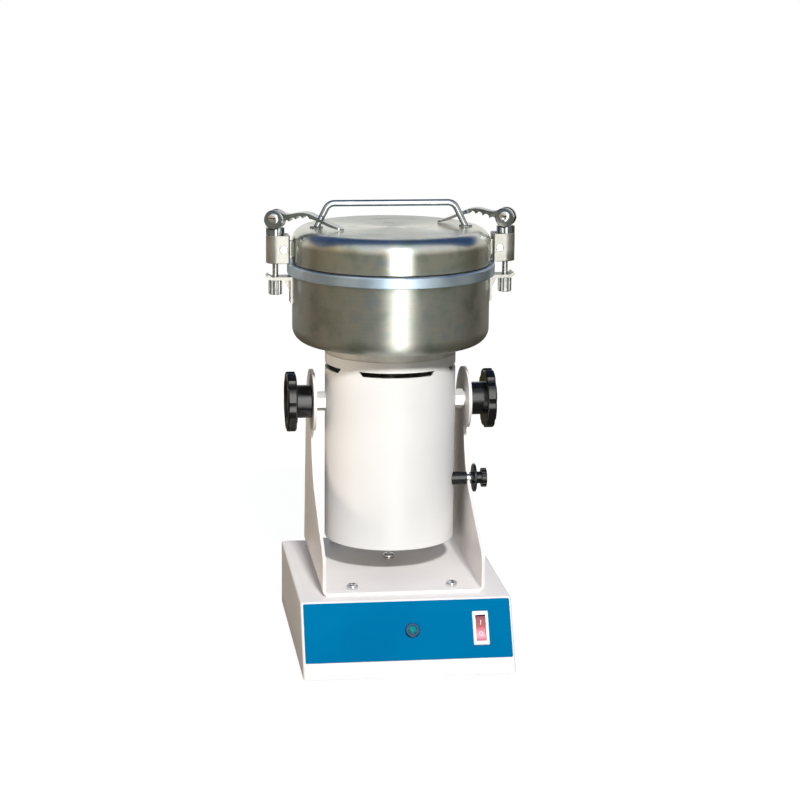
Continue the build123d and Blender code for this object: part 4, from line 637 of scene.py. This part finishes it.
# Weld beads
# The handle's feet, the ears and the straps of the catches are welded on by hand with a rod of
# the same steel. Each bead lies in its seam in small overlapping ripples, browned by the heat.
BEAD_RADIUS = 0.0009
BEAD_LIFT = BEAD_RADIUS / 3
STRAP_PARTS = 6
BEAD_STEP = 0.0003
BEAD_SIDES = 8
RIPPLE_PITCH = 0.0014
RIPPLE_SHARE = 0.16
CIRCLE_STEPS = 36
HANDLE_FOOT_RADIUS = 0.0056
SEAM_INSET = 0.0006
weld_steel = surface("heat_tinted_weld_steel", tones=("9A968C", "BDB8AA"), cloud=4,
                     grain=(1.4, 1.4, 1.4), bump=0.20, roughness=(0.28, 0.42), Metallic=1.0)
bead_tree, given = new_tree(
    "weld_bead", ("Radius", "NodeSocketFloat"), ("Step", "NodeSocketFloat"),
    ("Sides", "NodeSocketInt"), ("Ripple Pitch", "NodeSocketFloat"),
    ("Ripple Share", "NodeSocketFloat"), ("Material", "NodeSocketMaterial"))
seam = add(bead_tree, "GeometryNodeMeshToCurve", {"Mesh": given["Geometry"]})
stepped = add(bead_tree, "GeometryNodeResampleCurve", {
    "Curve": seam.outputs[0], "Length": given["Step"]}, mode="LENGTH")
travelled = add(bead_tree, "GeometryNodeSplineParameter")
waves = add(bead_tree, "ShaderNodeMath", {
    0: travelled.outputs["Length"], 1: given["Ripple Pitch"]}, operation="DIVIDE")
phase = add(bead_tree, "ShaderNodeMath", {0: waves.outputs[0], 1: 2 * math.pi},
            operation="MULTIPLY")
wave = add(bead_tree, "ShaderNodeMath", {0: phase.outputs[0]}, operation="SINE")
swell = add(bead_tree, "ShaderNodeMath", {0: wave.outputs[0], 1: given["Ripple Share"], 2: 1.0},
            operation="MULTIPLY_ADD")
section = add(bead_tree, "GeometryNodeCurvePrimitiveCircle", {
    "Resolution": given["Sides"], "Radius": given["Radius"]})
laid = add(bead_tree, "GeometryNodeCurveToMesh", {
    "Curve": stepped.outputs[0], "Profile Curve": section.outputs[0], "Scale": swell.outputs[0],
    "Fill Caps": True})
close_tree(bead_tree, laid.outputs[0], given["Material"])


def bead(name, path, closed, radius, material):
    """Lay a bead along a path of points and ride it on the mill."""
    edges = [(i, i + 1) for i in range(len(path) - 1)] + ([(len(path) - 1, 0)] if closed else [])
    laid = grown(new_object(name, path, edges, []), bead_tree, {
        "Radius": radius, "Step": BEAD_STEP, "Sides": BEAD_SIDES, "Ripple Pitch": RIPPLE_PITCH,
        "Ripple Share": RIPPLE_SHARE, "Material": material})
    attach(laid, "mill")


def circle(centre, radius, first, second):
    """Points round a circle that two directions span."""
    turns = [2 * math.pi * step / CIRCLE_STEPS for step in range(CIRCLE_STEPS)]
    return [centre + radius * (math.cos(turn) * first + math.sin(turn) * second) for turn in turns]


def on_wall(radius, sign, across, height):
    """A point on the round wall of lid or bowl, left or right, beside the clamp's middle."""
    return Vector((sign * math.sqrt(radius ** 2 - across ** 2), axis_y + across, height))


X_AXIS, Y_AXIS, Z_AXIS = Vector((1, 0, 0)), Vector((0, 1, 0)), Vector((0, 0, 1))
handle_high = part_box("lid_handle")[1]
lid_low, lid_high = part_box("lid")
bowl_low, bowl_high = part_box("bowl")
lid_radius = (lid_high.x - lid_low.x) / 2
bowl_radius = (bowl_high.x - bowl_low.x) / 2
under_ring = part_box("bowl_rim_ring")[0].z - 2 * BEAD_RADIUS
for side, sign in (("left", -1), ("right", 1)):
    foot = Vector((sign * (handle_high.x - HANDLE_FOOT_RADIUS), axis_y, lid_high.z + BEAD_LIFT))
    round_foot = circle(foot, HANDLE_FOOT_RADIUS, X_AXIS, Y_AXIS)
    bead(f"{side}_handle_weld", round_foot, True, BEAD_RADIUS, weld_steel)
    ear_low, ear_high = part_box(f"{side}_lid_ear")
    for end, edge in (("front", ear_low.y), ("back", ear_high.y)):
        seam_ends = (ear_low.z + SEAM_INSET, ear_high.z - SEAM_INSET)
        ear_seam = [on_wall(lid_radius, sign, edge - axis_y, z) for z in seam_ends]
        bead(f"{side}_ear_{end}_weld", ear_seam, False, BEAD_RADIUS, weld_steel)
    catch_low, catch_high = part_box(f"{side}_bowl_catch")
    half = (catch_high.y - catch_low.y) / 2
    low_seam = [on_wall(bowl_radius, sign, half * part / STRAP_PARTS, catch_low.z + SEAM_INSET)
                for part in range(-STRAP_PARTS, STRAP_PARTS + 1)]
    strap = [on_wall(bowl_radius, sign, -half, under_ring), *low_seam,
             on_wall(bowl_radius, sign, half, under_ring)]
    bead(f"{side}_catch_weld", strap, False, BEAD_RADIUS, weld_steel)


# Peened pins
# The ends of the clamp pins are hammered over after fitting, which leaves a raised ring on each
# head. It is as bright as the pin and rippled by the blows.
PEEN_RING_RADIUS = 0.0018
PEEN_RADIUS = 0.00042
pins_low, pins_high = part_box("clamp_pins")
head_radius = (pins_high.z - pins_low.z) / 2
for side, sign in (("left", -1), ("right", 1)):
    for end, face_y in (("front", pins_low.y), ("back", pins_high.y)):
        head = Vector((sign * (pins_high.x - head_radius), face_y, pins_low.z + head_radius))
        ring = circle(head, PEEN_RING_RADIUS, X_AXIS, Z_AXIS)
        bead(f"{side}_{end}_peening", ring, True, PEEN_RADIUS, chrome)


low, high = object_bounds()
